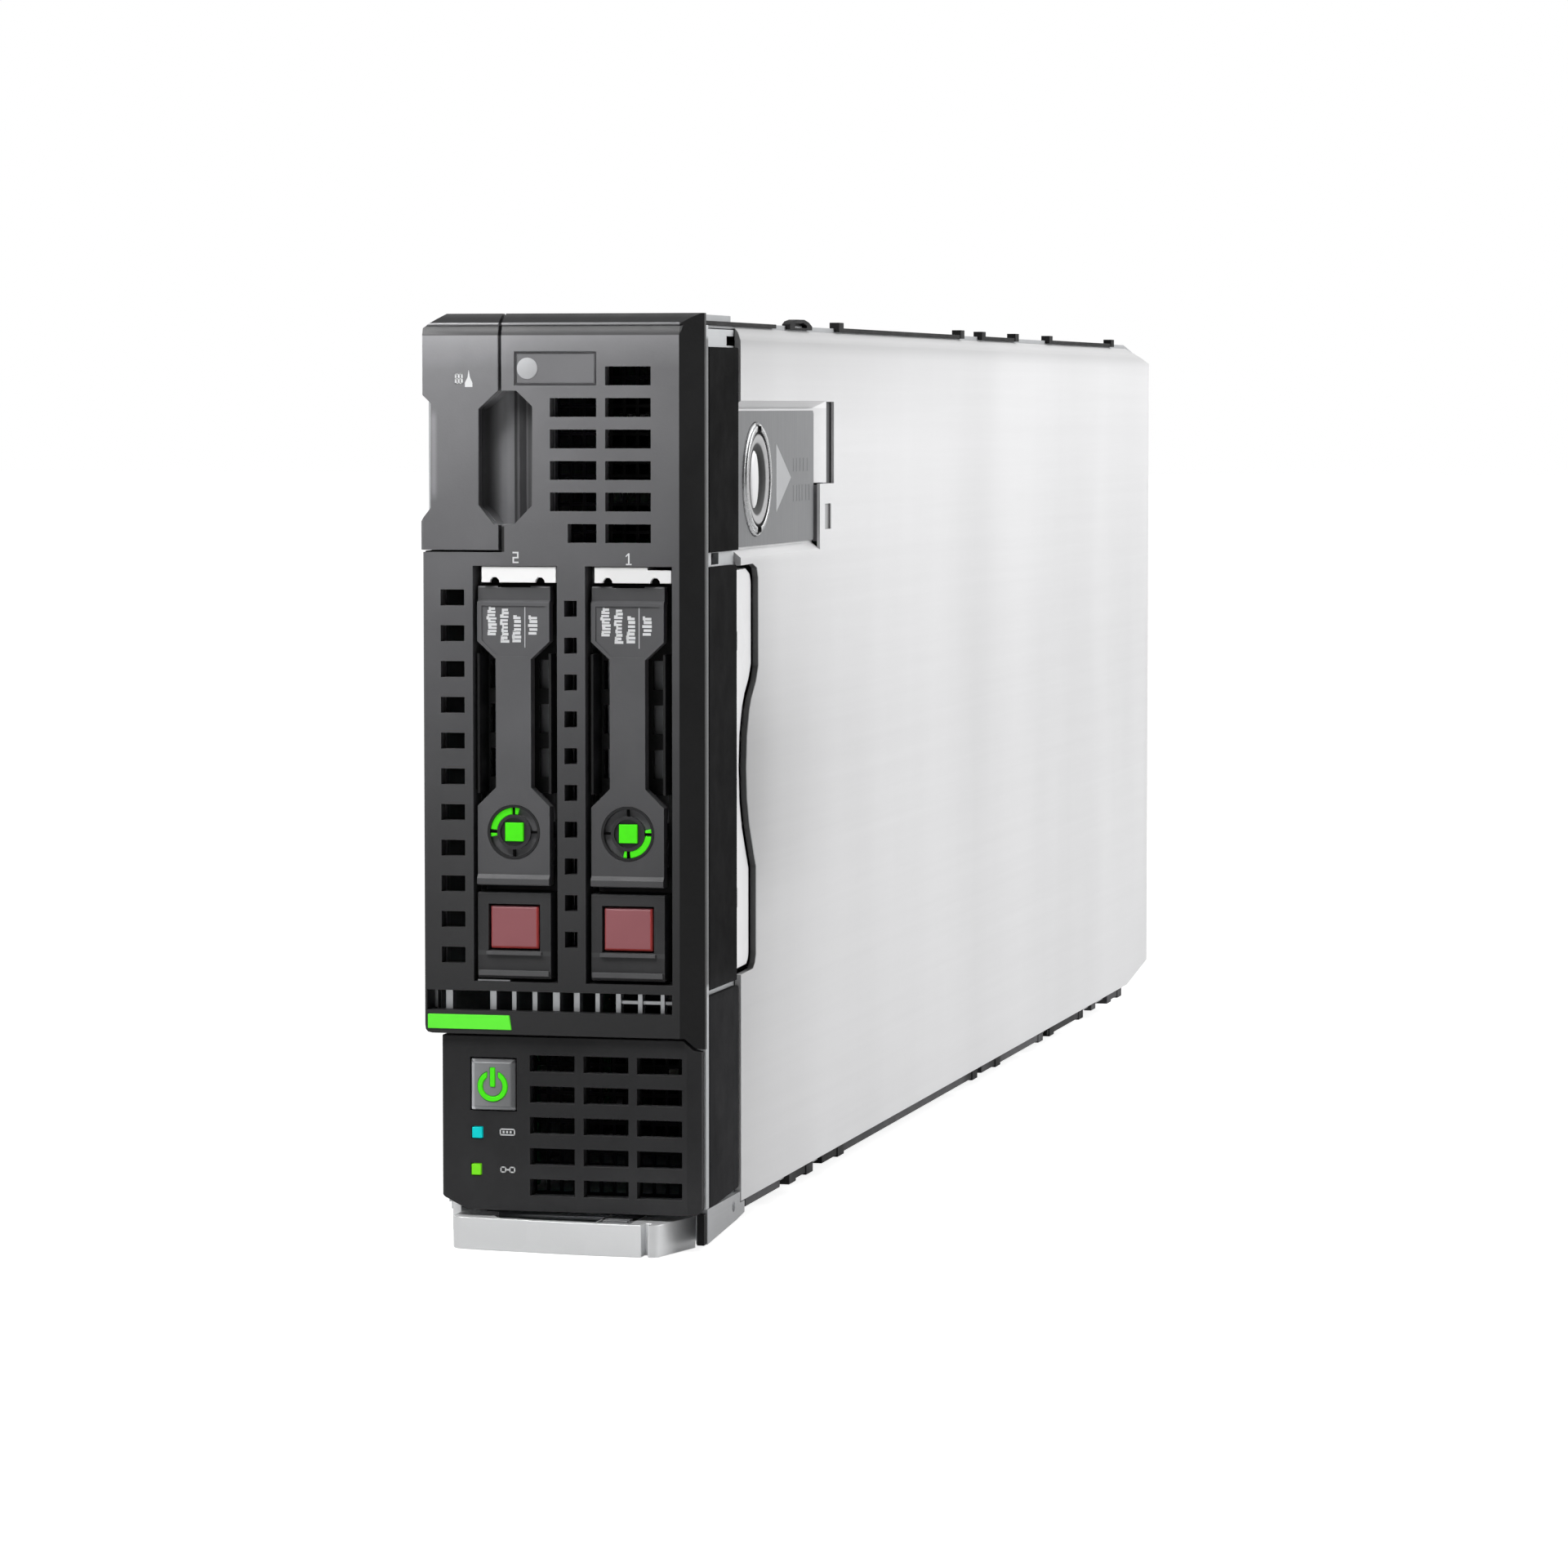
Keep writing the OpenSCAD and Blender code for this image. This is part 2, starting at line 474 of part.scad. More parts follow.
module carrier(cx) color("#38383a") F() translate([cx, 0, 0]) {
  difference() {
    union() {
      // latch block, front wall, upper and lower rails
      intersection() {
        bx(-7.3, 7.3, 0.8, 8.4, bay_z0, 69.3);
        yz([[9, 52], [1.4, 52], [0.8, 53.4], [0.8, 69], [1.1, 69.3], [9, 69.3]], -8, 8);
      }
      bx(-7, 7, 0.2, 0.9, 53.2, 54.2);
      bx(-5.5, 5.5, 0.3, 0.9, 57.2, 57.9);
      bx(-7.4, 7.4, 7.2, 8.6, bay_z0, bay_z1);
      bx(-7.4, 7.4, 8.5, 110, 127.2, bay_z1);
      bx(-7.4, 7.4, 8.5, 110, bay_z0, 54);
      // side cheeks of the two recesses beside the handle's bar
      for (s = [-1, 1]) bx(s > 0 ? 6.9 : -7.4, s > 0 ? 7.4 : -6.9, 1.2, 7.3, 88.4, 115.4);
      // hinge lug
      bx(-3, 3, hinge_y, 7.3, hinge_z - 1.7, hinge_z + 1.7);
      rx(1.85, -3, 3, hinge_y, hinge_z);
    }
    rx(1 + pin_clear, -5, 5, hinge_y, hinge_z);
    bx(-5.15, 5.15, -1, 6.9, 58.05, 67.05);
    // openings of the front wall, for air
    for (z = [74, 82.6, 91.2, 99.8, 108.4]) for (s = [-1, 1]) bx(s * 4.9 - 1.6, s * 4.9 + 1.6, 7, 9, z, z + 5.6);
    for (y = [24, 62, 100]) for (z = [50, 126]) translate([0, y, z]) cylinder(r = 1.6, h = 5);
  }
}
module carrier_left() carrier(left_cx);
module carrier_right() carrier(right_cx);

module drive(cx) color("#a3a5a7") F() translate([cx, 0, 0]) {
  difference() {
    bx(-drive_t / 2, drive_t / 2, 10.4, 10.4 + drive_l, 55.5, 125.3);
    bx(drive_t / 2 - 0.6, drive_t, 18, 96, 60, 121);
    bx(-drive_t, -drive_t / 2 + 0.5, 16, 100, 58.5, 122.5);
    bx(-3.6, 3.6, 6 + drive_l, 20 + drive_l, 64.6, 103.4);
  }
  rx(11, drive_t / 2 - 0.7, drive_t / 2 - 0.2, 46, 88);
}
module drive_left() drive(left_cx);
module drive_right() drive(right_cx);

module handle(cx) color("#47474a") F() translate([cx, 0, 0]) {
  difference() {
    union() {
      intersection() {
        xz([[-7.2, 128.4], [7.2, 128.4], [7.2, 117.8], [3.5, 114.4], [3.5, 89.6], [7.2, 86], [7.2, 70.7], [-7.2, 70.7], [-7.2, 86], [-3.5, 89.6],
          [-3.5, 114.4], [-7.2, 117.8]], 0.6, 0.6 + handle_t);
        yz([[4, 70], [0.6, 70], [0.6, 125.3], [1.3, 125.7], [1.3, 128.1], [1.5, 128.4], [4, 128.4]], -8, 8);
      }
      // ears round the pin
      for (s = [-1, 1]) rx(2, s > 0 ? 3.3 : -6.9, s > 0 ? 6.9 : -3.3, hinge_y, hinge_z);
      // finger lip
      yz([[0.7, 70.7], [0, 70.9], [0, 72], [0.6, 72.8], [0.7, 72.8]], -7.2, 7.2);
      // catch hook on the back
      bx(-2.6, 2.6, 3.2, 6.4, 71.2, 72.6);
    }
    bx(-3.25, 3.25, 1.35, 6, 123.9, 129);
    ry(5.25, -1, 1.9, 0, 81);
    // shallow field at the top
    xz([[-6.3, 124.6], [6.3, 124.6], [6.3, 118], [3.1, 114.9], [-3.1, 114.9], [-6.3, 118]], 0, 0.8);
  }
  rx(1, -3.4, 3.4, hinge_y, hinge_z);
}
module handle_left() handle(left_cx);
module handle_right() handle(right_cx);

// Ring, from r0 to r1, between two depths
module ring(r0, r1, y0, y1, cx) difference() {
  ry(r1, y0, y1, cx, 81);
  ry(r0, y0 - 1, y1 + 1, cx, 81);
}
module status_ring(cx) color("#232325") F() {
  difference() {
    union() {
      ry(5.2, 1.25, 1.9, cx, 81);
      ring(4.75, 5.2, 0.5, 1.4, cx);
      ring(2.75, 3.35, 0.7, 1.4, cx);
    }
    difference() {
      ry(4.72, 0, 1.6, cx, 81);
      ry(3.38, -1, 3, cx, 81);
    }
    bx(cx - 1.95, cx + 1.95, 0, 1.6, 79.05, 82.95);
  }
}
module status_ring_left() status_ring(left_cx);
module status_ring_right() status_ring(right_cx);

// Ring of light segments: the long lit one, and a short lit stub past each of its ends
module status_arc(cx, a) color("#46e114") F() {
  translate([cx, 1.6, 81]) rotate([90, 0, 0]) linear_extrude(0.75) intersection() {
    difference() {
      circle(r = 4.68);
      circle(r = 3.42);
    }
    rotate(a) union() {
      polygon([[0, 0], [8, 0.85], [8, 8], [0.85, 8]]);
      polygon([[0, 0], [8, 0.25], [8, -1.7]]);
      polygon([[0, 0], [0.25, 8], [-1.7, 8]]);
    }
  }
  translate([cx - 1.8, 0.8, 79.2]) cube([3.6, 0.8, 3.6]);
}
module status_arc_left() status_arc(left_cx, 90);
module status_arc_right() status_arc(right_cx, -90);

module red_button(cx) color("#9a5156") F() translate([cx, 0, 0]) {
  intersection() {
    bx(-4.8, 4.8, 1, 5.2, 58.4, 66.7);
    xy([[-4.8, 6], [-4.8, 1.4], [-4.4, 1], [4.4, 1], [4.8, 1.4], [4.8, 6]], 50, 70);
    yz([[6, 58.4], [1.4, 58.4], [1, 58.8], [1, 66.3], [1.4, 66.7], [6, 66.7]], -6, 6);
  }
}
module red_button_left() red_button(left_cx);
module red_button_right() red_button(right_cx);

// ---- Electronics ----

module system_board() color("#1e5c3c") F() difference() {
  bx(board_x - 1.6, board_x, 119.4, 499, 9.6, 174);
  bx(-30, 0, 119, 128, 150, 180);
  for (y = [126, 260.5, 399, 492], z = [13.4, 92, 171.4]) if (!(y == 126 && z > 140)) rx(1.6, -30, 0, y, z);
}

// Screws and the standoffs that they enter
module board_screws() color("#b7b9bb") F()
  for (y = [126, 260.5, 399, 492], z = [13.4, 92, 171.4]) if (!(y == 126 && z > 140)) {
    rx(2.6, -26.1, board_x - 1.6, y, z);
    rx(1.5, -24, board_x + 0.3, y, z);
    rx(2.8, board_x, board_x + 1.6, y, z);
  }

module cpu_sockets() color("#d9d2bd") F() for (y = cpu_y) difference() {
  bx(board_x, board_x + 3.4, y - 29, y + 29, cpu_z - 27, cpu_z + 27);
  bx(board_x + 1.6, board_x + 5, y - 24.5, y + 24.5, cpu_z - 22, cpu_z + 22);
}
module processors() color("#b2b4b6") F() for (y = cpu_y) {
  bx(board_x + 1.6, board_x + 3.2, y - 24, y + 24, cpu_z - 21.5, cpu_z + 21.5);
  bx(board_x + 3.1, board_x + 5.6, y - 18, y + 18, cpu_z - 16, cpu_z + 16);
}
// Finned heat sinks with four spring screws each
module heat_sinks() color("#c6c8ca") F() for (y = cpu_y) {
  pitch = 84 / (fin_count - 1);
  difference() {
    union() {
      translate([0, y - 42, 0]) mirror([0, 1, 0]) rotate([90, 0, 0]) linear_extrude(84) polygon(concat(
        [[-16.4, cpu_z - 43], [-16.4, cpu_z + 43]],
        [for (i = [fin_count - 1:-1:0]) for (k = [0:3]) [k == 0 || k == 3 ? -12.4 : 19, cpu_z - 42 + pitch * i + (k < 2 ? 0.4 : -0.4)]]));
    }
    for (s = [-1, 1], t = [-1, 1]) rx(4.6, -12.4, 30, y + s * 35, cpu_z + t * 35);
  }
  for (s = [-1, 1], t = [-1, 1]) rx(3.4, -12.4, -7, y + s * 35, cpu_z + t * 35);
}
module dimm_sockets() color("#202022") F() for (y = cpu_y, z = dimm_z) difference() {
  union() {
    bx(board_x, board_x + 6.6, y - 67.8, y + 67.8, z - 2.9, z + 2.9);
    for (s = [-1, 1]) bx(board_x, board_x + 13, y + s * 67.4 - 1.3, y + s * 67.4 + 1.3, z - 2.4, z + 2.4);
  }
  bx(board_x + 1.4, board_x + 14, y - 65.9, y + 65.9, z - 0.9, z + 0.9);
}
module memory_modules() color("#1c6a43") F() for (y = cpu_y, z = dimm_z) {
  bx(board_x + 1.6, board_x + 1.6 + dimm_h, y - 65.7, y + 65.7, z - 0.6, z + 0.6);
  for (i = [0:8]) bx(board_x + 9.6, board_x + 19, y - 61 + 13.9 * i, y - 50.4 + 13.9 * i, z - 1.8, z + 1.8);
}
// Capacitors, coils, controller chip and its small heat sink, mezzanine sockets
module board_parts() color("#3a3c40") F() {
  for (y = [for (c = cpu_y) c - 62], i = [0:cap_count - 1]) rx(3.1, board_x, board_x + 9, y + 4, 58 + 8.6 * i);
  for (y = [for (c = cpu_y) c + 47], i = [0:4]) bx(board_x, board_x + 6, y, y + 10, 60 + 14 * i, 71 + 14 * i);
  translate([0, 404, 0]) mirror([0, 1, 0]) rotate([90, 0, 0]) linear_extrude(32) polygon(concat([[board_x, 56], [board_x, 84]],
    [for (i = [9:-1:0]) for (k = [0:3]) [k == 0 || k == 3 ? board_x + 3 : board_x + 12, 57 + 2.9 * i + (k < 2 ? 0.6 : -0.6)]]));
  bx(board_x, board_x + 15.9, 416, 424, 100, 150);
  bx(board_x, board_x + 15.9, 412, 420, 18, 44);
  bx(board_x, board_x + 2, 446, 462, 62, 78);
  bx(board_x, board_x + 2, 440, 452, 126, 138);
}
module coin_cell() color("#c9cbcd") F() {
  rx(10, board_x + 1, board_x + 4.2, 480, 136);
  bx(board_x, board_x + 1, 471, 489, 127, 145);
}
module mezzanine_card() color("#15613d") F() {
  bx(board_x + 15.9, board_x + 17.5, 404, 494, 60, 172);
  bx(board_x + 17.5, board_x + 27, 436, 470, 100, 134);
  for (z = [66, 78, 146, 158]) bx(board_x + 17.5, board_x + 20, 412, 424, z, z + 8);
  difference() {
    bx(board_x + 17.5, board_x + 25, 478, 494, 70, 94);
    bx(board_x + 19, board_x + 23.5, 490, 495, 72, 92);
  }
}
module network_card() color("#1a5d45") F() {
  bx(board_x + 15.9, board_x + 17.5, 404, 494, 11, 55);
  bx(board_x + 17.5, board_x + 22, 430, 452, 22, 44);
  for (y = [462, 476]) bx(board_x + 17.5, board_x + 26, y, y + 10, 18, 46);
}
// Duct walls beside the processors and a roof over the lower memory bank
module air_baffle() color("#2c2f33") F() difference() {
  union() {
    bx(-13, 21, 126, 396, 48.4, 47.2 + 2.2);
    bx(19.8, 21, 126, 396, 10.4, 49.4);
    bx(-13, 21, 126, 396, 134.6, 135.8);
    bx(19.8, 21, 126, 396, 134.6, 174);
  }
  bx(10, 30, 180, 340, 20, 36);
  bx(10, 30, 180, 340, 148, 164);
}
module signal_connector() color("#1b1b1d") F() difference() {
  bx(-21.2, 0, 499.2, 513, 59.6, 121.4);
  for (x = [0:4], z = [0:13]) bx(-19.6 + 4 * x, -17.4 + 4 * x, 507, 515, 62.2 + 4.2 * z, 64.4 + 4.2 * z);
}
module power_connector() color("#232326") F() difference() {
  bx(-20.2, 1.2, 499.2, 511.4, 15.6, 47.4);
  for (x = [0:3]) bx(-17.8 + 4.6 * x, -15.8 + 4.6 * x, 505, 515, 18, 30);
  for (x = [0:3]) bx(-17.8 + 4.6 * x, -15.8 + 4.6 * x, 505, 515, 33, 45);
}

bezel();
pull_tab();
lower_plate();
green_bar();
front_frame();
emi_mesh();
grille_bars();
bay_lips();
side_block_top();
side_block_mid();
side_block_low();
power_button();
power_light();
status_light_blue();
status_light_green();
control_board();
io_connector();
chassis_tub();
rear_plate();
top_strips();
bottom_strips();
bracket_right();
bracket_left();
bracket_cap();
lever_pin();
lever();
lever_button();
access_panel();
latch_plate();
latch_ring();
latch_button();
inset_strip();
drive_cage();
drive_backplane();
carrier_left();
carrier_right();
drive_left();
drive_right();
handle_left();
handle_right();
status_ring_left();
status_ring_right();
status_arc_left();
status_arc_right();
red_button_left();
red_button_right();
system_board();
board_screws();
cpu_sockets();
processors();
heat_sinks();
dimm_sockets();
memory_modules();
board_parts();
coin_cell();
mezzanine_card();
network_card();
air_baffle();
signal_connector();
power_connector();
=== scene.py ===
import math
import random

import bmesh
import bpy
from mathutils import Matrix, Vector


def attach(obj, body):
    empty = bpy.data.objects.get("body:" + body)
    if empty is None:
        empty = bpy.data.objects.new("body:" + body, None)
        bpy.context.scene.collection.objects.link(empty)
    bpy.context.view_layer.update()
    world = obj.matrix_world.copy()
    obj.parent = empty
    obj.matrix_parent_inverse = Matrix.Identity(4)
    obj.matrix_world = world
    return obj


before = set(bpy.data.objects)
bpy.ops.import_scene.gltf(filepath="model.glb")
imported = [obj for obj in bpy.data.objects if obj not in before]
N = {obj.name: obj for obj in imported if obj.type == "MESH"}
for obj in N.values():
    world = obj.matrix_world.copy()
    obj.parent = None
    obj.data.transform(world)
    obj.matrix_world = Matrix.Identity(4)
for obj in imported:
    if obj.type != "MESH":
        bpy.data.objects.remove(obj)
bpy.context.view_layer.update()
YM = 254.2  # depth from the front face to the row's origin, mm
rng = random.Random(7)


def P(x, y, z):
    """mm, with y counted from the front face, to the row frame in metres"""
    return Vector((x / 1000, (y - YM) / 1000, z / 1000))


# ------------------------------------------------------------------ materials

def srgb(h):
    h = h.lstrip("#")
    out = []
    for i in (0, 2, 4):
        c = int(h[i:i + 2], 16) / 255
        out.append(c / 12.92 if c <= 0.04045 else ((c + 0.055) / 1.055) ** 2.4)
    return out + [1.0]


class Mat:
    """A small node-tree builder around one Principled shader."""

    def __init__(self, name, base, rough=0.5, metal=0.0, **kw):
        self.m = bpy.data.materials.new(name)
        self.m.use_nodes = True
        self.t = self.m.node_tree
        self.t.nodes.clear()
        self.out = self.t.nodes.new("ShaderNodeOutputMaterial")
        self.b = self.t.nodes.new("ShaderNodeBsdfPrincipled")
        self.t.links.new(self.b.outputs[0], self.out.inputs[0])
        self.tc = self.t.nodes.new("ShaderNodeTexCoord")
        self.b.inputs["Base Color"].default_value = base
        self.b.inputs["Roughness"].default_value = rough
        self.b.inputs["Metallic"].default_value = metal
        for k, v in kw.items():
            self.b.inputs[k.replace("_", " ")].default_value = v
        self.height = None

    def n(self, kind, **props):
        x = self.t.nodes.new(kind)
        for k, v in props.items():
            setattr(x, k, v)
        return x

    def link(self, a, b):
        self.t.links.new(a, b)

    def coords(self, scale=(1, 1, 1), loc=(0, 0, 0)):
        mp = self.n("ShaderNodeMapping")
        mp.inputs["Scale"].default_value = scale
        mp.inputs["Location"].default_value = loc
        self.link(self.tc.outputs["Object"], mp.inputs[0])
        return mp.outputs[0]

    def noise(self, scale, detail=3.0, rough=0.5, stretch=(1, 1, 1), distortion=0.0):
        x = self.n("ShaderNodeTexNoise")
        x.inputs["Scale"].default_value = scale
        x.inputs["Detail"].default_value = detail
        x.inputs["Roughness"].default_value = rough
        x.inputs["Distortion"].default_value = distortion
        self.link(self.coords(stretch), x.inputs["Vector"])
        return x.outputs[0]

    def voronoi(self, scale, feature="F1", stretch=(1, 1, 1), out="Distance"):
        x = self.n("ShaderNodeTexVoronoi", feature=feature)
        x.inputs["Scale"].default_value = scale
        self.link(self.coords(stretch), x.inputs["Vector"])
        return x.outputs[out]

    def remap(self, src, a0, a1, b0, b1):
        x = self.n("ShaderNodeMapRange")
        x.inputs["From Min"].default_value = a0
        x.inputs["From Max"].default_value = a1
        x.inputs["To Min"].default_value = b0
        x.inputs["To Max"].default_value = b1
        self.link(src, x.inputs[0])
        return x.outputs[0]

    def mix(self, fac, a, b):
        x = self.n("ShaderNodeMix", data_type="RGBA")
        for i, v in ((0, fac), (6, a), (7, b)):
            if isinstance(v, (list, tuple, float, int)):
                x.inputs[i].default_value = v
            else:
                self.link(v, x.inputs[i])
        return x.outputs[2]

    def math(self, op, a, b=None):
        x = self.n("ShaderNodeMath", operation=op)
        for i, v in ((0, a), (1, b)):
            if v is None:
                continue
            if isinstance(v, (float, int)):
                x.inputs[i].default_value = v
            else:
                self.link(v, x.inputs[i])
        return x.outputs[0]

    def axis(self, which):
        s = self.n("ShaderNodeSeparateXYZ")
        self.link(self.tc.outputs["Object"], s.inputs[0])
        return s.outputs["XYZ".index(which)]

    def rough(self, src):
        self.link(src, self.b.inputs["Roughness"])

    def color(self, src):
        self.link(src, self.b.inputs["Base Color"])

    def bump(self, src, strength, dist):
        x = self.n("ShaderNodeBump")
        x.inputs["Strength"].default_value = strength
        x.inputs["Distance"].default_value = dist
        self.link(src, x.inputs["Height"])
        if self.height is not None:
            self.link(self.height, x.inputs["Normal"])
        self.height = x.outputs[0]
        self.link(self.height, self.b.inputs["Normal"])


def plastic(name, col, rough=0.5, grain=0.35, var=0.10, metal=0.0, dust=0.0, spec=0.3):
    """Moulded plastic: spark-eroded grain, faint mottling, uneven sheen and a little dust"""
    m = Mat(name, srgb(col), rough, metal)
    m.b.inputs["Specular IOR Level"].default_value = spec
    c = srgb(col)
    lo = [v * (1 - var) for v in c[:3]] + [1]
    hi = [min(1, v * (1 + var) + 0.002) for v in c[:3]] + [1]
    f = m.noise(60, 4, 0.6)
    base = m.mix(m.remap(f, 0.3, 0.7, 0, 1), lo, hi)
    if dust:
        d = m.remap(m.noise(900, 2, 0.7), 0.62, 0.78, 0, dust)
        base = m.mix(d, base, [0.35, 0.35, 0.36, 1])
    m.color(base)
    m.rough(m.remap(m.noise(140, 3, 0.6), 0.3, 0.7, rough - 0.06, rough + 0.07))
    m.bump(m.voronoi(2600), grain, 0.00004)
    m.bump(m.noise(5200, 2, 0.6), grain * 0.7, 0.00003)
    return m


def sheet_metal(name, col, rough=0.36, metal=1.0, brush=(1, 0.02, 1), spangle=0.04, grime=0.0):
    """Galvanised or satin sheet: drawn grain, cloudy spangle and fine scratches"""
    m = Mat(name, srgb(col), rough, metal)
    c = srgb(col)
    cloud = m.noise(24, 5, 0.62)
    cell = m.voronoi(260, "F1", out="Color")
    cellv = m.n("ShaderNodeSeparateColor")
    m.link(cell, cellv.inputs[0])
    a = m.remap(cloud, 0.3, 0.7, -1, 1)
    b = m.remap(cellv.outputs[0], 0, 1, -1, 1)
    s = m.math("ADD", m.math("MULTIPLY", a, 0.55), m.math("MULTIPLY", b, 0.45))
    lo = [v * (1 - spangle) for v in c[:3]] + [1]
    hi = [min(1, v * (1 + spangle)) for v in c[:3]] + [1]
    base = m.mix(m.remap(s, -1, 1, 0, 1), lo, hi)
    if grime:
        g = m.remap(m.noise(9, 6, 0.7), 0.55, 0.8, 0, grime)
        base = m.mix(g, base, [v * 0.6 for v in c[:3]] + [1])
    m.color(base)
    grain = m.noise(1400, 3, 0.7, stretch=brush)
    r = m.math("ADD", m.remap(grain, 0.3, 0.7, -0.05, 0.05), m.remap(cloud, 0.3, 0.7, rough - 0.04, rough + 0.05))
    m.rough(r)
    m.bump(grain, 0.10, 0.00003)
    m.bump(m.noise(300, 3, 0.6), 0.05, 0.0001)
    return m


def glow(name, col, strength, rough=0.35):
    """Lit light pipe: frosted, its glow varying a little across the face"""
    m = Mat(name, srgb(col), rough)
    m.b.inputs["Emission Color"].default_value = srgb(col)
    m.b.inputs["Specular IOR Level"].default_value = 0.2
    m.color(m.mix(m.remap(m.noise(700, 3), 0.35, 0.65, 0, 1), [v * 0.94 for v in srgb(col)[:3]] + [1], srgb(col)))
    m.link(m.remap(m.noise(420, 2), 0.3, 0.7, strength * 0.95, strength * 1.05), m.b.inputs["Emission Strength"])
    m.rough(m.remap(m.noise(900, 2), 0.3, 0.7, rough - 0.05, rough + 0.1))
    m.bump(m.noise(2500, 2), 0.2, 0.00003)
    return m


# --- moulded plastics
bezel_mat = plastic("bezel_plastic", "6c6c6e", 0.46, 0.30)
t = bezel_mat
zc = t.axis("Z")
xc = t.axis("X")
# painted light: the bezel's colour runs from dark at the bottom to light at the top, falls off towards the right
# (side_fall) and brightens into a painted highlight just below the roll (top_light); the mottling is the plastic's own
ramp = t.n("ShaderNodeValToRGB")
ramp.color_ramp.interpolation = "B_SPLINE"
els = ramp.color_ramp.elements
els[0].position, els[0].color = 0.0, srgb("363637")
els[1].position, els[1].color = 1.0, srgb("7e7e80")
els[0].color = srgb("2c2c2d")
for pos, col in ((0.12, "343435"), (0.28, "404041"), (0.5, "535355"), (0.75, "69696b")):
    e = els.new(pos)
    e.color = srgb(col)
t.link(t.remap(zc, 0.040, 0.1765, 0, 1), ramp.inputs[0])
mott = t.remap(t.noise(70, 4, 0.6), 0.3, 0.7, 0.93, 1.07)
side_fall = t.remap(xc, -0.016, 0.024, 1.0, 0.80)
top_light = t.remap(zc, 0.1700, 0.1762, 0.96, 1.36)
mm = t.n("ShaderNodeVectorMath", operation="SCALE")
t.link(ramp.outputs[0], mm.inputs[0])
t.link(t.math("MULTIPLY", t.math("MULTIPLY", mott, side_fall), top_light), mm.inputs["Scale"])
# painted shade in a dark band on the roll above the face; darker paint on the top of the roll and on the right-hand
# bevel, whose paint darkens towards the bottom as painted shade
roll = t.remap(zc, 0.17885, 0.17895, 0, 1)
band = t.math("MULTIPLY", t.remap(zc, 0.17640, 0.17655, 0, 1), t.remap(zc, 0.17832, 0.17840, 1, 0))
edge = t.remap(xc, 0.02370, 0.02380, 0, 1)
c1 = t.mix(band, mm.outputs[0], srgb("484849"))
c2 = t.mix(roll, c1, srgb("1b1b1c"))
c3 = t.mix(edge, c2, t.mix(t.remap(zc, 0.110, 0.172, 0, 1), srgb("101011"), srgb("1b1b1c")))
t.color(c3)

def shade_by(m, fac):
    """Multiplies the base colour by a factor worked out from the object's own coordinates"""
    src = m.b.inputs["Base Color"].links[0].from_socket
    v = m.n("ShaderNodeVectorMath", operation="SCALE")
    m.link(src, v.inputs[0])
    m.link(fac, v.inputs["Scale"])
    m.color(v.outputs[0])


def stops(m, src, a0, a1, pts):
    """A factor that follows src through (position, value) pairs, both in the caller's own units; values up to 4"""
    r = m.n("ShaderNodeValToRGB")
    e = r.color_ramp.elements
    span = a1 - a0
    while len(e) < len(pts):
        e.new(0.5)
    for el, (pos, v) in zip(e, pts):
        el.position = (pos - a0) / span
    for el, (pos, v) in zip(sorted(e, key=lambda q: q.position), sorted(pts)):
        el.color = (v / 4, v / 4, v / 4, 1)
    m.link(m.remap(src, a0 / 1000, a1 / 1000, 0, 1), r.inputs[0])
    return m.math("MULTIPLY", r.outputs[0], 4.0)


def inside(m, axis, lo, hi, soft=0.05):
    """1 between two places along an axis, in mm, and 0 outside them"""
    c = m.axis(axis)
    a = m.remap(c, (lo - soft) / 1000, (lo + soft) / 1000, 0, 1)
    b = m.remap(c, (hi - soft) / 1000, (hi + soft) / 1000, 1, 0)
    return m.math("MULTIPLY", a, b)


def lerp(m, mask, value, other=1.0):
    """other where mask is 0, value where it is 1"""
    if isinstance(value, (int, float)):
        return m.math("ADD", other, m.math("MULTIPLY", mask, value - other))
    return m.math("ADD", other, m.math("MULTIPLY", mask, m.math("SUBTRACT", value, other)))


# upper light falls off towards the right
upper_fall = lerp(t, t.remap(zc, 0.160, 0.172, 0, 1), t.remap(xc, -0.0225, -0.002, 1.16, 0.92))
shade_by(t, upper_fall)

# painted shade and light in the scoop of the finger grip: dark under the tab's edge, lighter on its floor, then two
# facets
cup = t.math("MULTIPLY", t.math("MULTIPLY", inside(t, "X", -16.15, -5.2), inside(t, "Z", 140, 166)), inside(t, "Y", -YM + 0.5, -YM + 12))
shade_by(t, lerp(t, cup, stops(t, t.axis("X"), -16.3, -5.1, [
    (-16.1, 0.28), (-15.8, 0.34), (-14.6, 1.05), (-13.4, 2.05), (-12.0, 2.05), (-10.55, 1.50), (-10.3, 0.34), (-9.85, 0.34), (-9.6, 0.66), (-9.2, 0.76), (-8.9, 0.88),
    (-7.9, 0.78), (-7.6, 0.45), (-7.1, 0.60), (-6.6, 0.40), (-5.3, 0.34)])))
# painted highlight on the inner bevel of the tab's notch
notch = t.math("MULTIPLY", inside(t, "X", -25.5, -24.5, 0.35), inside(t, "Z", 145.5, 161.5, 1.0))
shade_by(t, lerp(t, notch, 1.55))
# shadow in the wider part of the seam below the grip
seam = t.math("MULTIPLY", inside(t, "X", -11.5, -10.95, 0.08), inside(t, "Z", 135.0, 139.9, 0.1))
shade_by(t, lerp(t, seam, 0.12))


def radius_from(m, a, b, ca, cb):
    """Distance, in metres, from the line through (ca, cb) mm in the plane of axes a and b"""
    u = m.math("SUBTRACT", m.axis(a), ca / 1000)
    v = m.math("SUBTRACT", m.axis(b), cb / 1000)
    return m.math("SQRT", m.math("ADD", m.math("MULTIPLY", u, u), m.math("MULTIPLY", v, v)))


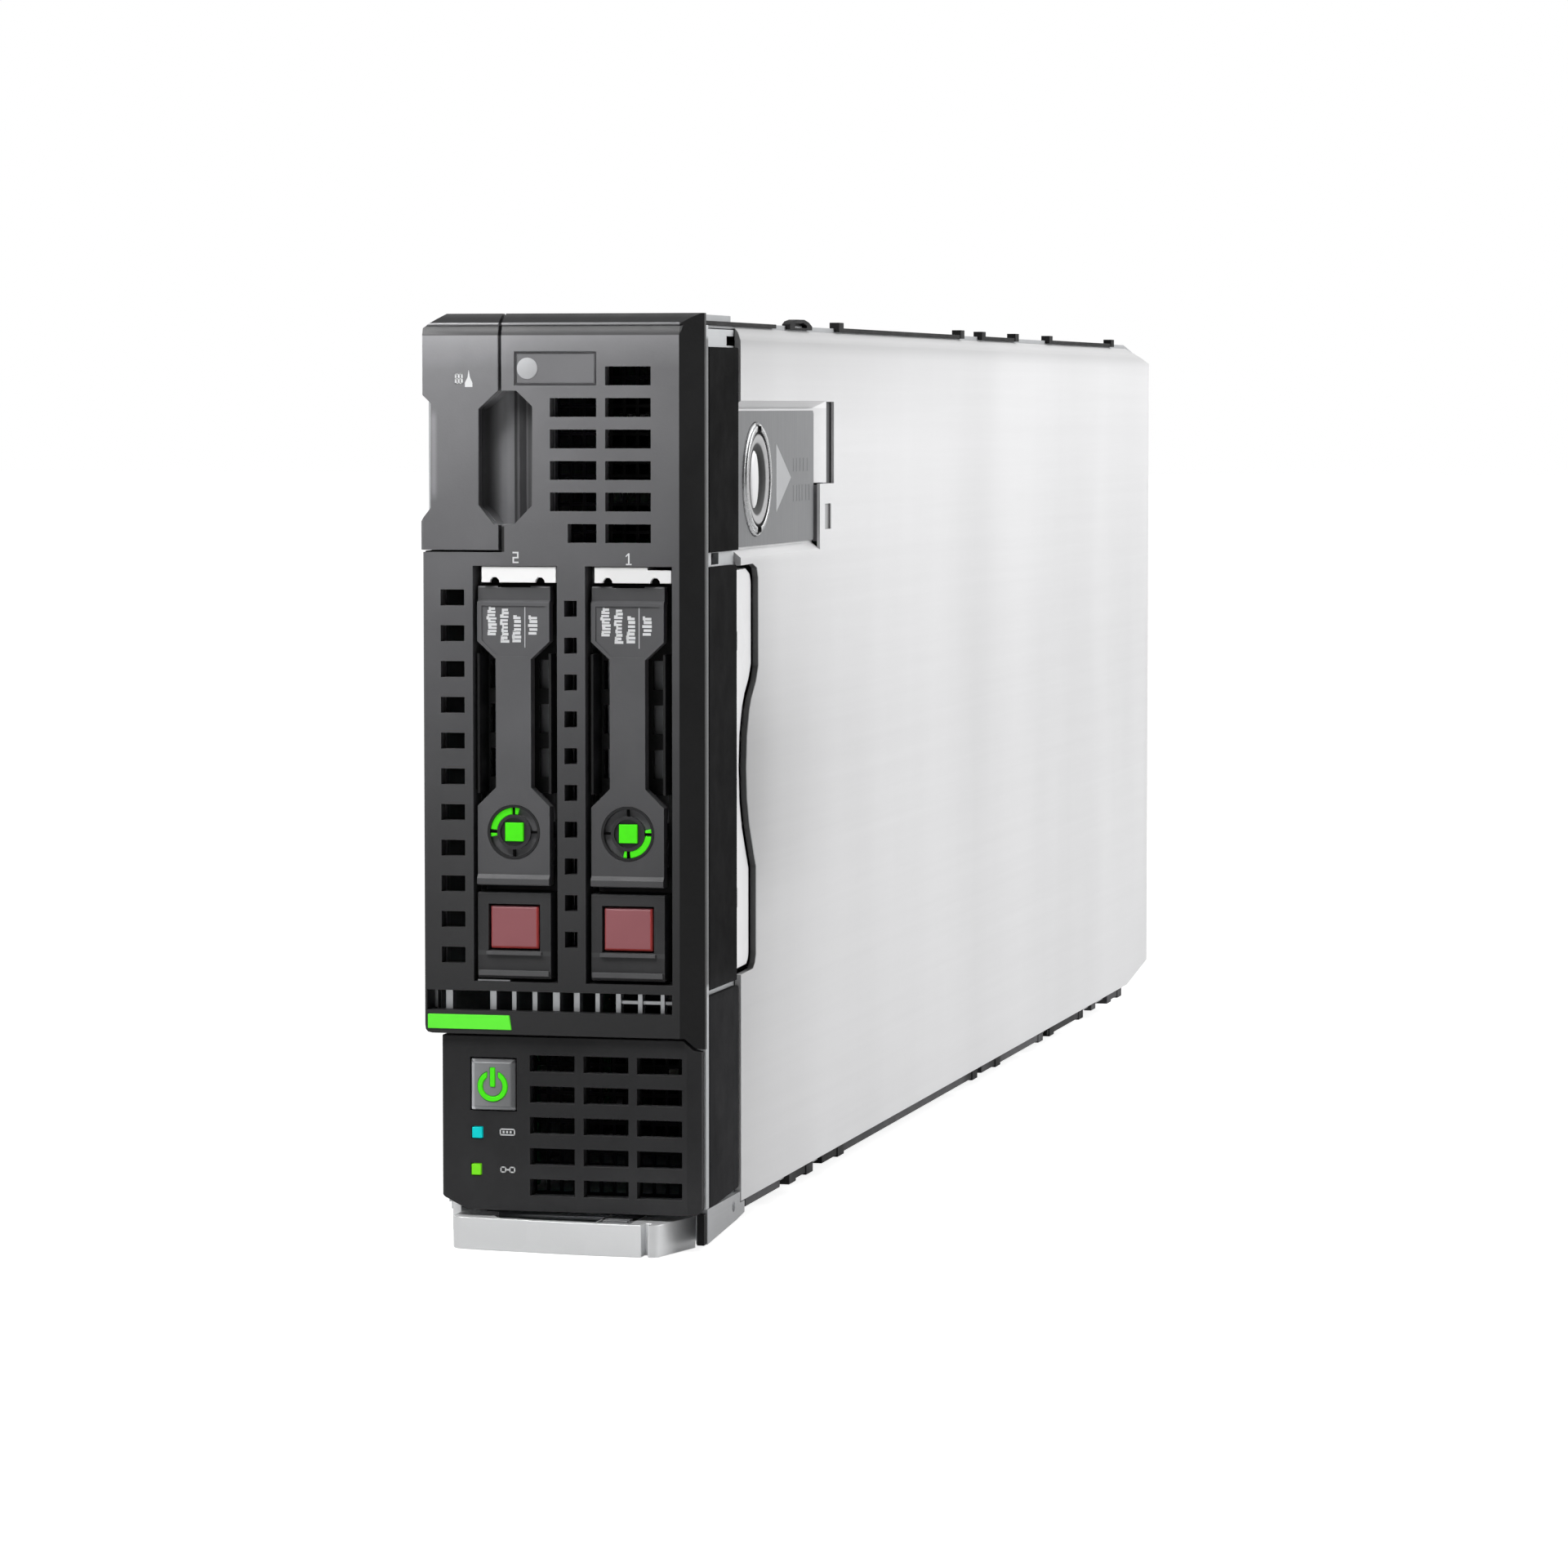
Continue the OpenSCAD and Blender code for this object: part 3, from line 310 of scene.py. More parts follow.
def panel_sheet(name, col):
    """Satin galvanised cover: upright cloudy streaks, faint lengthwise lines and a fine speckle"""
    m = Mat(name, srgb(col), 0.42, 0.30)
    c = srgb(col)
    streak = m.noise(15, 4, 0.6, stretch=(1, 1.0, 0.16))
    lines = m.noise(420, 3, 0.7, stretch=(1, 0.012, 1))
    speck = m.noise(2100, 2, 0.75)
    f = m.math("ADD", m.math("ADD", m.remap(streak, 0.32, 0.68, -0.5, 0.5), m.remap(lines, 0.3, 0.7, -0.28, 0.28)), m.remap(speck, 0.3, 0.7, -0.3, 0.3))
    m.color(m.mix(m.remap(f, -0.9, 0.9, 0, 1), [v * 0.955 for v in c[:3]] + [1], [min(1, v * 1.035) for v in c[:3]] + [1]))
    m.rough(m.math("ADD", m.remap(streak, 0.3, 0.7, 0.37, 0.46), m.remap(speck, 0.3, 0.7, -0.03, 0.03)))
    m.bump(lines, 0.10, 0.00003)
    m.bump(speck, 0.10, 0.00002)
    # painted light: the cover a little lighter towards the top
    shade_by(m, m.remap(m.axis("Z"), 0.095, 0.140, 1.0, 1.035))
    # painted shade in a strip along the front edge, strongest beside the cut-out and varying with height
    strip = stops(m, m.axis("Y"), 34 - YM, 192 - YM, [
        (36 - YM, 1.20), (52 - YM, 0.93), (57 - YM, 0.83), (62 - YM, 0.74), (68 - YM, 0.635), (74 - YM, 0.58), (80 - YM, 0.50), (92 - YM, 0.40),
        (98 - YM, 0.35), (110 - YM, 0.24), (122 - YM, 0.17), (155 - YM, 0.07), (190 - YM, 0.0)])
    band = stops(m, m.axis("Z"), 0, 180, [
        (5, 0.30), (14, 0.38), (28, 0.50), (44, 0.60), (61, 0.66), (72, 0.90), (80, 1.0), (96, 1.0), (112, 0.68), (124, 0.55), (132, 0.50),
        (134, 0.22), (160, 0.16), (170, 0.20)])
    shade_by(m, m.math("SUBTRACT", 1.0, m.math("MULTIPLY", m.math("MULTIPLY", strip, band), 0.40)))
    # painted shade: softer light over the upper front, then painted shade in the crease and on the rolled upper edge
    upper = m.math("MULTIPLY", m.remap(m.axis("Y"), (50 - YM) / 1000, (350 - YM) / 1000, 1, 0), m.remap(m.axis("Z"), 0.156, 0.170, 0, 1))
    shade_by(m, lerp(m, upper, 0.83))
    shade_by(m, stops(m, m.axis("Z"), 170, 180, [
        (170.5, 1.0), (173.2, 0.96), (174.4, 0.88), (175.2, 0.81), (176.0, 0.76), (176.4, 0.70), (176.9, 0.70), (177.6, 0.68), (178.4, 0.71), (179.5, 0.74)]))
    # painted shade on the cut edge beside the inset strip and in the small sunk mark, darkest at its rear; a painted
    # highlight on the pocket's upper slope
    wall = m.math("MULTIPLY", inside(m, "X", 26.0, 27.60, 0.04), m.math("MULTIPLY", inside(m, "Y", 34 - YM, 50 - YM, 0.3), inside(m, "Z", 51, 132, 0.3)))
    shade_by(m, lerp(m, wall, 0.14))
    mark = m.math("MULTIPLY", inside(m, "X", 27.0, 27.5, 0.04), m.math("MULTIPLY", inside(m, "Y", 106.8 - YM, 112.7 - YM), inside(m, "Z", 137.2, 142.7)))
    shade_by(m, lerp(m, mark, m.remap(m.axis("Y"), (107 - YM) / 1000, (112.4 - YM) / 1000, 0.85, 0.28)))
    slope = m.math("MULTIPLY", inside(m, "Z", 162.5, 163.95, 0.05), inside(m, "Y", 33 - YM, 108.2 - YM))
    shade_by(m, lerp(m, slope, 1.13))
    return m


handle_mat = plastic("handle_plastic", "5c5c5e", 0.5, 0.30, 0.08)
# painted light: the handles darker towards the bottom and towards the right
shade_by(handle_mat, handle_mat.math("MULTIPLY", handle_mat.remap(handle_mat.axis("Z"), 0.070, 0.100, 0.72, 1.0),
                                     handle_mat.remap(handle_mat.axis("X"), -0.004, 0.008, 1.0, 0.86)))
carrier_mat = plastic("carrier_plastic", "3c3c3d", 0.52, 0.35, 0.10, spec=0.15)
# painted shade on the carrier above the handle's lower edge, where the handle covers it
shade_by(carrier_mat, carrier_mat.remap(carrier_mat.axis("Z"), 0.068, 0.073, 1.0, 0.42))
# painted shade in a band on the handle's set-back top lip, and a painted highlight along the edge above it
shade_by(handle_mat, lerp(handle_mat, inside(handle_mat, "Z", 125.4, 128.1, 0.1), 0.78))
shade_by(handle_mat, lerp(handle_mat, inside(handle_mat, "Z", 128.2, 129.5, 0.1), 1.3))
# painted highlight along the small ledges under the key and at the carrier's foot
ledge = carrier_mat.math("MAXIMUM", inside(carrier_mat, "Z", 57.1, 58.0), inside(carrier_mat, "Z", 53.1, 54.25))
ledge = carrier_mat.math("MULTIPLY", ledge, inside(carrier_mat, "Y", -YM, -YM + 0.78))
shade_by(carrier_mat, lerp(carrier_mat, ledge, 2.2))
block_mat = plastic("block_plastic", "121213", 0.75, 0.35, 0.14, spec=0.03)
# painted light: the side blocks lighter at the bottom and darker at the top
shade_by(block_mat, block_mat.remap(block_mat.axis("Z"), 0.048, 0.054, 3.0, 1.0))
shade_by(block_mat, block_mat.remap(block_mat.axis("Z"), 0.131, 0.136, 1.0, 0.62))
mesh_mat = plastic("mesh_black", "141414", 0.85, 0.1, 0.1, spec=0.0)
strip_mat = plastic("strip_black", "141415", 0.60, 0.35, 0.14, spec=0.15)
# painted light: the bottom strips' grey base and its lighter runs between the dark ends stand in for light on the thin
# black strips
low_strip_mat = plastic("low_strip_black", "58585a", 0.60, 0.35, 0.14, spec=0.15)
shade_by(low_strip_mat, stops(low_strip_mat, low_strip_mat.axis("Y"), 36 - YM, 472 - YM, [(y - YM, v) for y, v in (
    (39, 0.80), (69, 0.80), (77, 0.40), (85, 0.16), (92, 0.16), (98, 0.40), (107, 0.10), (126, 0.10), (129, 0.50), (200, 0.85), (255, 0.70),
    (262, 0.10), (271, 0.10), (277, 0.60), (290, 0.30), (293, 0.10), (299, 0.10), (302, 0.80), (350, 1.10), (357, 0.10), (370, 0.10), (373, 0.35),
    (404, 0.35), (406, 0.10), (412, 0.10), (424, 0.90), (446, 0.90), (468, 0.60))]))
plate_mat = plastic("plate_plastic", "303031", 0.55, 0.35, 0.12, spec=0.10)
# painted light: the lower plate lighter towards the bottom
shade_by(plate_mat, plate_mat.remap(plate_mat.axis("Z"), 0.008, 0.034, 1.38, 1.0))
inset_mat = sheet_metal("inset_metal", "f4f4f5", 0.50, 0.06, (1, 1, 0.03), 0.03)
tub_mat = sheet_metal("tub_metal", "b6b8ba", 0.50, 0.35, (1, 0.03, 1), 0.05, 0.25)
frame_mat = sheet_metal("frame_metal", "c8cacc", 0.40, 0.90, (1, 0.03, 1), 0.05)
# painted shade on the frame's outer side edge just behind the bezel
_pale = frame_mat.math("MULTIPLY", inside(frame_mat, "X", 26.5, 28, 0.05), inside(frame_mat, "Z", 51.5, 176.0, 0.4))
shade_by(frame_mat, lerp(frame_mat, frame_mat.math("MULTIPLY", _pale, inside(frame_mat, "Y", -YM, -YM + 8, 0.1)), 0.30))
latch_plate_mat = sheet_metal("latch_plate_paint", "7f8082", 0.50, 0.20, (1, 1, 0.03), 0.03)
# painted light: the latch plate darker towards the front and lighter towards the rear
shade_by(latch_plate_mat, latch_plate_mat.remap(latch_plate_mat.axis("Y"), (34 - YM) / 1000, (100 - YM) / 1000, 0.90, 1.10))


def status_ring_mat(name, cx):
    """Two dark mouldings with a smoked track between them"""
    m = plastic(name, "58585a", 0.42, 0.12, 0.06)
    r = radius_from(m, "X", "Z", cx, 81)
    shade_by(m, stops(m, r, 0, 6, [(0, 0.30), (3.30, 0.30), (3.42, 1.0), (4.66, 1.0), (4.76, 0.16), (5.9, 0.16)]))
    return m


def key_mat(name, cx):
    """Translucent dark red key, with painted highlights along its right-hand and lower edges and a fainter one along
    its left
    """
    m = plastic(name, "985c61", 0.36, 0.10, 0.05)
    src = m.b.inputs["Base Color"].links[0].from_socket
    e = m.math("MAXIMUM", inside(m, "X", cx + 4.35, cx + 5, 0.06), inside(m, "Z", 58, 58.85, 0.06))
    e = m.math("MAXIMUM", e, m.math("MULTIPLY", inside(m, "X", cx - 5, cx - 4.45, 0.06), 0.45))
    m.color(m.mix(e, src, srgb("c04a48")))
    return m


def latch_button_mat():
    """Turned and dished latch button: painted highlight in the middle, painted shade over the dish round it, then a
    satin rim with painted shadow beyond it
    """
    m = sheet_metal("latch_button_metal", "f2f2f3", 0.36, 0.10, (1, 1, 1), 0.02)
    m.b.inputs["IOR"].default_value = 1.08
    r = radius_from(m, "Y", "Z", 50.8 - YM, 148.4)
    shade_by(m, stops(m, r, 0, 12, [(0, 0.55), (2.6, 0.30), (4.0, 0.06), (5.2, 0.04), (7.0, 0.10), (7.4, 0.60), (8.7, 0.65), (9.0, 0.05), (11, 0.05)]))
    return m


def latch_ring_mat():
    """Turned ring, with the shadow of its two catch slots"""
    m = sheet_metal("latch_ring_metal", "d0d1d2", 0.27, 0.9, (1, 1, 1), 0.02)
    spot = m.math("MAXIMUM", inside(m, "Z", 157.5, 159.1, 0.15), inside(m, "Z", 137.7, 139.3, 0.15))
    shade_by(m, lerp(m, m.math("MULTIPLY", spot, inside(m, "Y", 49.1 - YM, 52.5 - YM, 0.3)), 0.06))
    return m


def power_button_mat():
    """Satin key cap: lighter towards the left, painted highlights on its left and lower edges, painted shadow on its
    upper edge
    """
    m = sheet_metal("power_metal", "838486", 0.50, 0.35, (1, 1, 0.03), 0.03)
    shade_by(m, m.remap(m.axis("X"), -0.0183, -0.0094, 1.30, 0.85))
    shade_by(m, lerp(m, inside(m, "X", -18.6, -17.55, 0.2), 2.1))
    shade_by(m, lerp(m, inside(m, "Z", 26.5, 27.5, 0.15), 1.7))
    shade_by(m, lerp(m, inside(m, "Z", 36.2, 37.5, 0.15), 0.40))
    return m


cheek_mat = sheet_metal("cheek_metal", "b2b3b5", 0.42, 0.50, (1, 0.03, 1), 0.03)

lip_mat = plastic("white_plastic", "f5f5f5", 0.45, 0.10, 0.015)
# painted shade: the white lips darker towards the right
shade_by(lip_mat, lip_mat.remap(lip_mat.axis("X"), 0.004, 0.010, 0.98, 0.87))

M = {
    "bezel_plastic": bezel_mat,
    "dark_plastic": plastic("dark_plastic", "2c2c2d", 0.55, 0.35, 0.12, spec=0.10),
    "handle_plastic": handle_mat,
    "accent_green": glow("accent_green", "62ee3a", 0.22, 0.42),
    "light_green": glow("light_green", "40cc12", 0.55),
    "light_blue": glow("light_blue", "00b3b4", 0.60),
    "red_plastic": plastic("red_plastic", "96595f", 0.36, 0.12, 0.06),
    "satin_panel": panel_sheet("satin_panel", "ededee"),
    "sheet_metal": sheet_metal("sheet_metal", "c8cacc", 0.40, 0.90, (1, 0.03, 1), 0.05),
    "white_plastic": lip_mat,
    "lever_metal": sheet_metal("lever_metal", "f0f1f2", 0.36, 0.50, (0.03, 1, 1), 0.02),
    "button_metal": sheet_metal("button_metal", "838486", 0.50, 0.35, (1, 1, 0.03), 0.03),
    "label_grey": plastic("label_grey", "97989a", 0.42, 0.10, 0.03),
    "latch_metal": sheet_metal("latch_metal", "d4d5d6", 0.18, 1.0, (1, 1, 1), 0.02),
    "pin_steel": sheet_metal("pin_steel", "8f9194", 0.28, 1.0, (0.05, 1, 1), 0.03),
    "board_green": plastic("board_green", "1a5434", 0.30, 0.08, 0.10),
    "heat_sink_metal": sheet_metal("heat_sink_metal", "dfe1e3", 0.40, 0.55, (1, 0.02, 1), 0.03),
    "chip_metal": sheet_metal("chip_metal", "b3b5b7", 0.30, 1.0, (1, 0.05, 1), 0.02),
    "socket_cream": plastic("socket_cream", "d7cfba", 0.5, 0.2, 0.03),
    "part_dark": plastic("part_dark", "2c2d30", 0.45, 0.2, 0.12),
    "drive_case": sheet_metal("drive_case", "b3b5b8", 0.40, 0.75, (1, 0.03, 1), 0.06),
}
SPECIAL = {"carrier_left": carrier_mat, "carrier_right": carrier_mat, "side_block_top": block_mat, "side_block_mid": block_mat,
           "side_block_low": block_mat, "bracket_cap": strip_mat, "emi_mesh": mesh_mat, "top_strips": strip_mat,
           "bottom_strips": low_strip_mat, "inset_strip": inset_mat, "bracket_right": cheek_mat,
           "status_ring_left": status_ring_mat("ring_left", -9.4), "status_ring_right": status_ring_mat("ring_right", 13.3),
           "red_button_left": key_mat("key_left", -9.4), "red_button_right": key_mat("key_right", 13.3),
           "latch_plate": latch_plate_mat, "latch_button": latch_button_mat(), "latch_ring": latch_ring_mat(), "lower_plate": plate_mat, "front_frame": frame_mat,
           "chassis_tub": tub_mat, "power_button": power_button_mat(), "status_light_green": glow("green_lamp", "6bca1c", 0.55)}


# board: solder mask with copper runs and via dots
def board_finish(m):
    runs = m.voronoi(330, "DISTANCE_TO_EDGE", stretch=(1, 1, 0.35))
    runs2 = m.voronoi(210, "DISTANCE_TO_EDGE", stretch=(1, 0.30, 1))
    line = m.math("MAXIMUM", m.remap(runs, 0.04, 0.07, 1, 0), m.remap(runs2, 0.04, 0.07, 1, 0))
    src = m.b.inputs["Base Color"].links[0].from_socket
    c1 = m.mix(m.math("MULTIPLY", line, 0.55), src, srgb("2a7a4c"))
    via = m.remap(m.voronoi(520), 0.10, 0.16, 1, 0)
    m.color(m.mix(m.math("MULTIPLY", via, 0.65), c1, srgb("b9b08a")))
    m.bump(line, 0.25, 0.00004)


board_finish(M["board_green"])


# -------------------------------------------------------------- CAD surfaces

def soften(o, width, segments=2, angle=32, merge=True):
    """Rounds the CAD part's hard edges, on flat faces merged from its triangles"""
    w = o.modifiers.new("weld", "WELD")
    w.merge_threshold = 1e-6
    if merge:
        d = o.modifiers.new("flat", "DECIMATE")
        d.decimate_type = "DISSOLVE"
        d.angle_limit = math.radians(0.6)
    if width:
        b = o.modifiers.new("edge", "BEVEL")
        b.width = width
        b.segments = segments
        b.limit_method = "ANGLE"
        b.angle_limit = math.radians(angle)
        b.use_clamp_overlap = True
        b.miter_outer = "MITER_SHARP"
        b.harden_normals = False
    n = o.modifiers.new("normals", "WEIGHTED_NORMAL")
    n.keep_sharp = False
    n.weight = 100


for name, o in N.items():
    finish = o.material_slots[0].material.name.split(".")[0]
    o.material_slots[0].material = SPECIAL.get(name, M[finish]).m

EDGE = {"bezel": 0.00025, "pull_tab": 0.00025, "lower_plate": 0.0003, "lever": 0.00035, "lever_button": 0.0002,
        "access_panel": 0.0002, "power_button": 0.0002, "handle_left": 0.0002, "handle_right": 0.0002,
        "red_button_left": 0.00015, "red_button_right": 0.00015, "side_block_top": 0.0002, "side_block_mid": 0.0002,
        "side_block_low": 0.0002, "chassis_tub": 0.0002}
for name, o in N.items():
    # the ring's slotted faces can't be merged into one face without closing its bore
    soften(o, EDGE.get(name, 0.00012), merge=name != "latch_ring")


# -------------------------------------------------- camera, floor and lights

scene = bpy.context.scene
scene.view_settings.view_transform = "Standard"

cam = bpy.data.objects.new("camera", bpy.data.cameras.new("camera"))
scene.collection.objects.link(cam)
fwd = Vector((-0.22973, 0.97107, -0.06525)).normalized()
right = Vector((0.97314, 0.23022, 0)).normalized()
up = right.cross(fwd).normalized()
rot = Matrix((right, up, -fwd)).transposed().to_4x4()
cam.matrix_world = Matrix.Translation((0.29826, -1.32777, 0.16327)) @ rot
cam.data.lens = 133.29
cam.data.sensor_width = 36
cam.data.clip_start = 0.05
cam.data.clip_end = 60
scene.camera = cam

world = bpy.data.worlds.new("studio")
scene.world = world
world.use_nodes = True
wt = world.node_tree
wt.nodes.clear()
wo = wt.nodes.new("ShaderNodeOutputWorld")
bg = wt.nodes.new("ShaderNodeBackground")
back = wt.nodes.new("ShaderNodeBackground")
mixw = wt.nodes.new("ShaderNodeMixShader")
lp = wt.nodes.new("ShaderNodeLightPath")
tc = wt.nodes.new("ShaderNodeTexCoord")
sp = wt.nodes.new("ShaderNodeSeparateXYZ")
mr = wt.nodes.new("ShaderNodeMapRange")
mr.interpolation_type = "SMOOTHSTEP"
mr.inputs["From Min"].default_value = -0.25
mr.inputs["From Max"].default_value = 0.75
mr.inputs["To Min"].default_value = 0.13
mr.inputs["To Max"].default_value = 1.0
wt.links.new(tc.outputs["Generated"], sp.inputs[0])
wt.links.new(sp.outputs[1], mr.inputs[0])
wt.links.new(mr.outputs[0], bg.inputs["Strength"])
bg.inputs["Color"].default_value = (1, 1, 1, 1)
back.inputs["Color"].default_value = (1, 1, 1, 1)
back.inputs["Strength"].default_value = 1.0
wt.links.new(lp.outputs["Is Camera Ray"], mixw.inputs[0])
wt.links.new(bg.outputs[0], mixw.inputs[1])
wt.links.new(back.outputs[0], mixw.inputs[2])
wt.links.new(mixw.outputs[0], wo.inputs[0])

me = bpy.data.meshes.new("floor")
bm = bmesh.new()
bmesh.ops.create_grid(bm, x_segments=4, y_segments=4, size=12)
bm.to_mesh(me)
bm.free()
floor = bpy.data.objects.new("floor", me)
scene.collection.objects.link(floor)
floor.location = (0, 0, -0.0001)
fm = Mat("floor", [0.62, 0.62, 0.62, 1], 0.8)
fm.color(fm.mix(fm.noise(2.5, 3), [0.61, 0.61, 0.61, 1], [0.63, 0.63, 0.63, 1]))
fm.b.inputs["Emission Color"].default_value = (1, 1, 1, 1)
seen = fm.n("ShaderNodeLightPath")
fm.link(fm.math("MULTIPLY", seen.outputs["Is Camera Ray"], 0.80), fm.b.inputs["Emission Strength"])
fm.b.inputs["Specular IOR Level"].default_value = 0.0
me.materials.append(fm.m)


def area(name, loc, target, size, power, spread=180):
    l = bpy.data.lights.new(name, "AREA")
    l.shape = "RECTANGLE"
    l.size, l.size_y = size
    l.energy = power
    l.spread = math.radians(spread)
    o = bpy.data.objects.new(name, l)
    scene.collection.objects.link(o)
    o.location = loc
    o.rotation_mode = "QUATERNION"
    o.rotation_quaternion = (Vector(target) - Vector(loc)).to_track_quat("-Z", "Y")
    return o


area("key_over_front", (-0.13, -0.41, 0.37), (-0.01, -0.254, 0.165), (0.30, 0.12), 1.5)
area("side_soft", (1.15, 0.62, 0.72), (0.0, 0.07, 0.10), (1.1, 0.9), 13.5)
area("front_soft", (-0.62, -2.3, 0.30), (0.0, -0.25, 0.08), (1.3, 0.7), 2.4)


# ------------------------------------------------------------ detail pieces
# Places are in mm, with y counted from the front face.

class Shape:
    """Collects simple solids in one mesh"""

    def __init__(self):
        self.bm = bmesh.new()

    def _faces(self, verts, faces):
        vs = [self.bm.verts.new(P(*v)) for v in verts]
        for f in faces:
            self.bm.faces.new([vs[i] for i in f])

    def prism(self, pts, a0, a1, plane="xz"):
        """An outline pushed from a0 to a1 along the plane's normal"""
        def at(p, a):
            return {"xz": (p[0], a, p[1]), "yz": (a, p[0], p[1]), "xy": (p[0], p[1], a)}[plane]
        n = len(pts)
        verts = [at(p, a0) for p in pts] + [at(p, a1) for p in pts]
        faces = [tuple(range(n)), tuple(range(2 * n - 1, n - 1, -1))]
        faces += [(i, i + n, (i + 1) % n + n, (i + 1) % n) for i in range(n)]
        self._faces(verts, faces)
        return self

    def box(self, x0, x1, y0, y1, z0, z1):
        return self.prism([(x0, z0), (x1, z0), (x1, z1), (x0, z1)], y0, y1)

    def lathe(self, axis, a, b, prof, seg=24):
        """Turned solid about an axis through (a, b); prof is (radius, place along the axis), the ends on the axis"""
        def at(r, h, t):
            c, s = r * math.cos(t), r * math.sin(t)
            return {"x": (h, a + c, b + s), "y": (a + c, h, b + s), "z": (a + c, b + s, h)}[axis]
        rows = []
        for r, h in prof:
            if r < 1e-6:
                rows.append([self.bm.verts.new(P(*at(0, h, 0)))])
            else:
                rows.append([self.bm.verts.new(P(*at(r, h, 2 * math.pi * i / seg))) for i in range(seg)])
        for p, q in zip(rows, rows[1:]):
            for i in range(seg):
                j = (i + 1) % seg
                if len(p) == 1 and len(q) == 1:
                    continue
                if len(p) == 1:
                    self.bm.faces.new([p[0], q[i], q[j]])
                elif len(q) == 1:
                    self.bm.faces.new([p[i], q[0], p[j]])
                else:
                    self.bm.faces.new([p[i], q[i], q[j], p[j]])
        return self

    def rod(self, pts, r, seg=8, closed=False):
        """Round bar along a row of points"""
        q = [P(*p) for p in pts]
        n = len(q)
        rings = []
        prev = None
        for i, c in enumerate(q):
            if closed:
                d = q[(i + 1) % n] - q[i - 1]
            else:
                d = q[min(i + 1, n - 1)] - q[max(i - 1, 0)]
            d.normalize()
            u = prev if prev is not None else (Vector((0, 0, 1)) if abs(d.z) < 0.9 else Vector((1, 0, 0)))
            u = (u - d * u.dot(d)).normalized()
            prev = u
            v = d.cross(u)
            rings.append([self.bm.verts.new(c + (u * math.cos(t) + v * math.sin(t)) * (r / 1000))
                          for t in (2 * math.pi * k / seg for k in range(seg))])
        pairs = list(zip(rings, rings[1:] + rings[:1])) if closed else list(zip(rings, rings[1:]))
        for p, s in pairs:
            for i in range(seg):
                j = (i + 1) % seg
                self.bm.faces.new([p[i], s[i], s[j], p[j]])
        if not closed:
            self.bm.faces.new(rings[0][::-1])
            self.bm.faces.new(rings[-1])
        return self

    def screw(self, axis, a, b, h, out, r=2.8, t=1.6, seg=28):
        """Pan-head screw with a round recess in its head: h is the seat, out the side that the head stands on"""
        o = out
        self.lathe(axis, a, b, [(0, h), (r, h), (r, h + o * t * 0.35), (r * 0.93, h + o * t * 0.66), (r * 0.72, h + o * t * 0.9),
                                (r * 0.5, h + o * t), (r * 0.42, h + o * t * 0.98), (r * 0.34, h + o * t * 0.55), (0, h + o * t * 0.45)], seg)
        return self

    def done(self, name, body, slot, mat, bevel=0.0, segments=1, smooth=True):
        bm = self.bm
        bmesh.ops.recalc_face_normals(bm, faces=bm.faces)
        me = bpy.data.meshes.new(name)
        bm.to_mesh(me)
        bm.free()
        if smooth:
            for p in me.polygons:
                p.use_smooth = True
        o = bpy.data.objects.new(name, me)
        scene.collection.objects.link(o)
        me.materials.append(mat.m)
        if bevel:
            b = o.modifiers.new("edge", "BEVEL")
            b.width = bevel / 1000
            b.segments = segments
            b.limit_method = "ANGLE"
            b.angle_limit = math.radians(40)
            b.use_clamp_overlap = True
        w = o.modifiers.new("normals", "WEIGHTED_NORMAL")
        w.keep_sharp = True
        w.weight = 100
        if smooth:
            me.set_sharp_from_angle(angle=math.radians(38))
        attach(o, body)
        return o


# --- inks, labels and small-part finishes
ink_pale = plastic("ink_pale", "d9dadb", 0.55, 0.05, 0.05, spec=0.1)
ink_mid = plastic("ink_mid", "b2b3b5", 0.55, 0.05, 0.10, spec=0.1)
ink_faint = plastic("ink_faint", "c2c3c5", 0.50, 0.05, 0.04, spec=0.1)
paper = plastic("label_paper", "e6e6e2", 0.62, 0.04, 0.03, spec=0.15)
# black for the status rings' ticks and for the dark sheets that stand for shade in slits
shade_and_tick_black = plastic("shade_and_tick_black_plastic", "070707", 0.85, 0.1, 0.12, spec=0.02)
gold = sheet_metal("contact_gold", "d8b261", 0.26, 1.0, (1, 0.05, 1), 0.04)
solder = sheet_metal("solder_tin", "c9cccf", 0.32, 0.9, (1, 1, 1), 0.05)
black_chip = plastic("chip_epoxy", "1b1c1f", 0.42, 0.12, 0.12, spec=0.25)
cap_sleeve = plastic("capacitor_sleeve", "252a35", 0.35, 0.05, 0.08)
ceramic = plastic("ceramic_tan", "a08461", 0.45, 0.05, 0.12)
spring_steel = sheet_metal("spring_steel", "b6babd", 0.25, 1.0, (1, 1, 1), 0.03)
latch_white = plastic("latch_white", "dcdcd6", 0.45, 0.12, 0.03)

# --- bay numbers, set in small square strokes
s = Shape()
# "2" over the left bay
for x0, x1, z0, z1 in ((-9.3, -8.1, 134.72, 135.02), (-8.4, -8.1, 134.0, 134.75), (-9.3, -8.1, 133.75, 134.05), (-9.3, -9.0, 133.05, 133.8),
                       (-9.3, -8.1, 132.85, 133.13)):
    s.box(x0, x1, -0.03, 0.02, z0, z1)
# "1" over the right bay
s.box(13.65, 13.95, -0.03, 0.02, 132.75, 134.85)
s.prism([(13.65, 134.85), (13.2, 134.35), (13.2, 134.1), (13.65, 134.5)], -0.03, 0.02)
s.box(13.25, 14.35, -0.03, 0.02, 132.6, 132.85)
s.done("bay_numbers", "chassis", "label_grey", ink_pale)

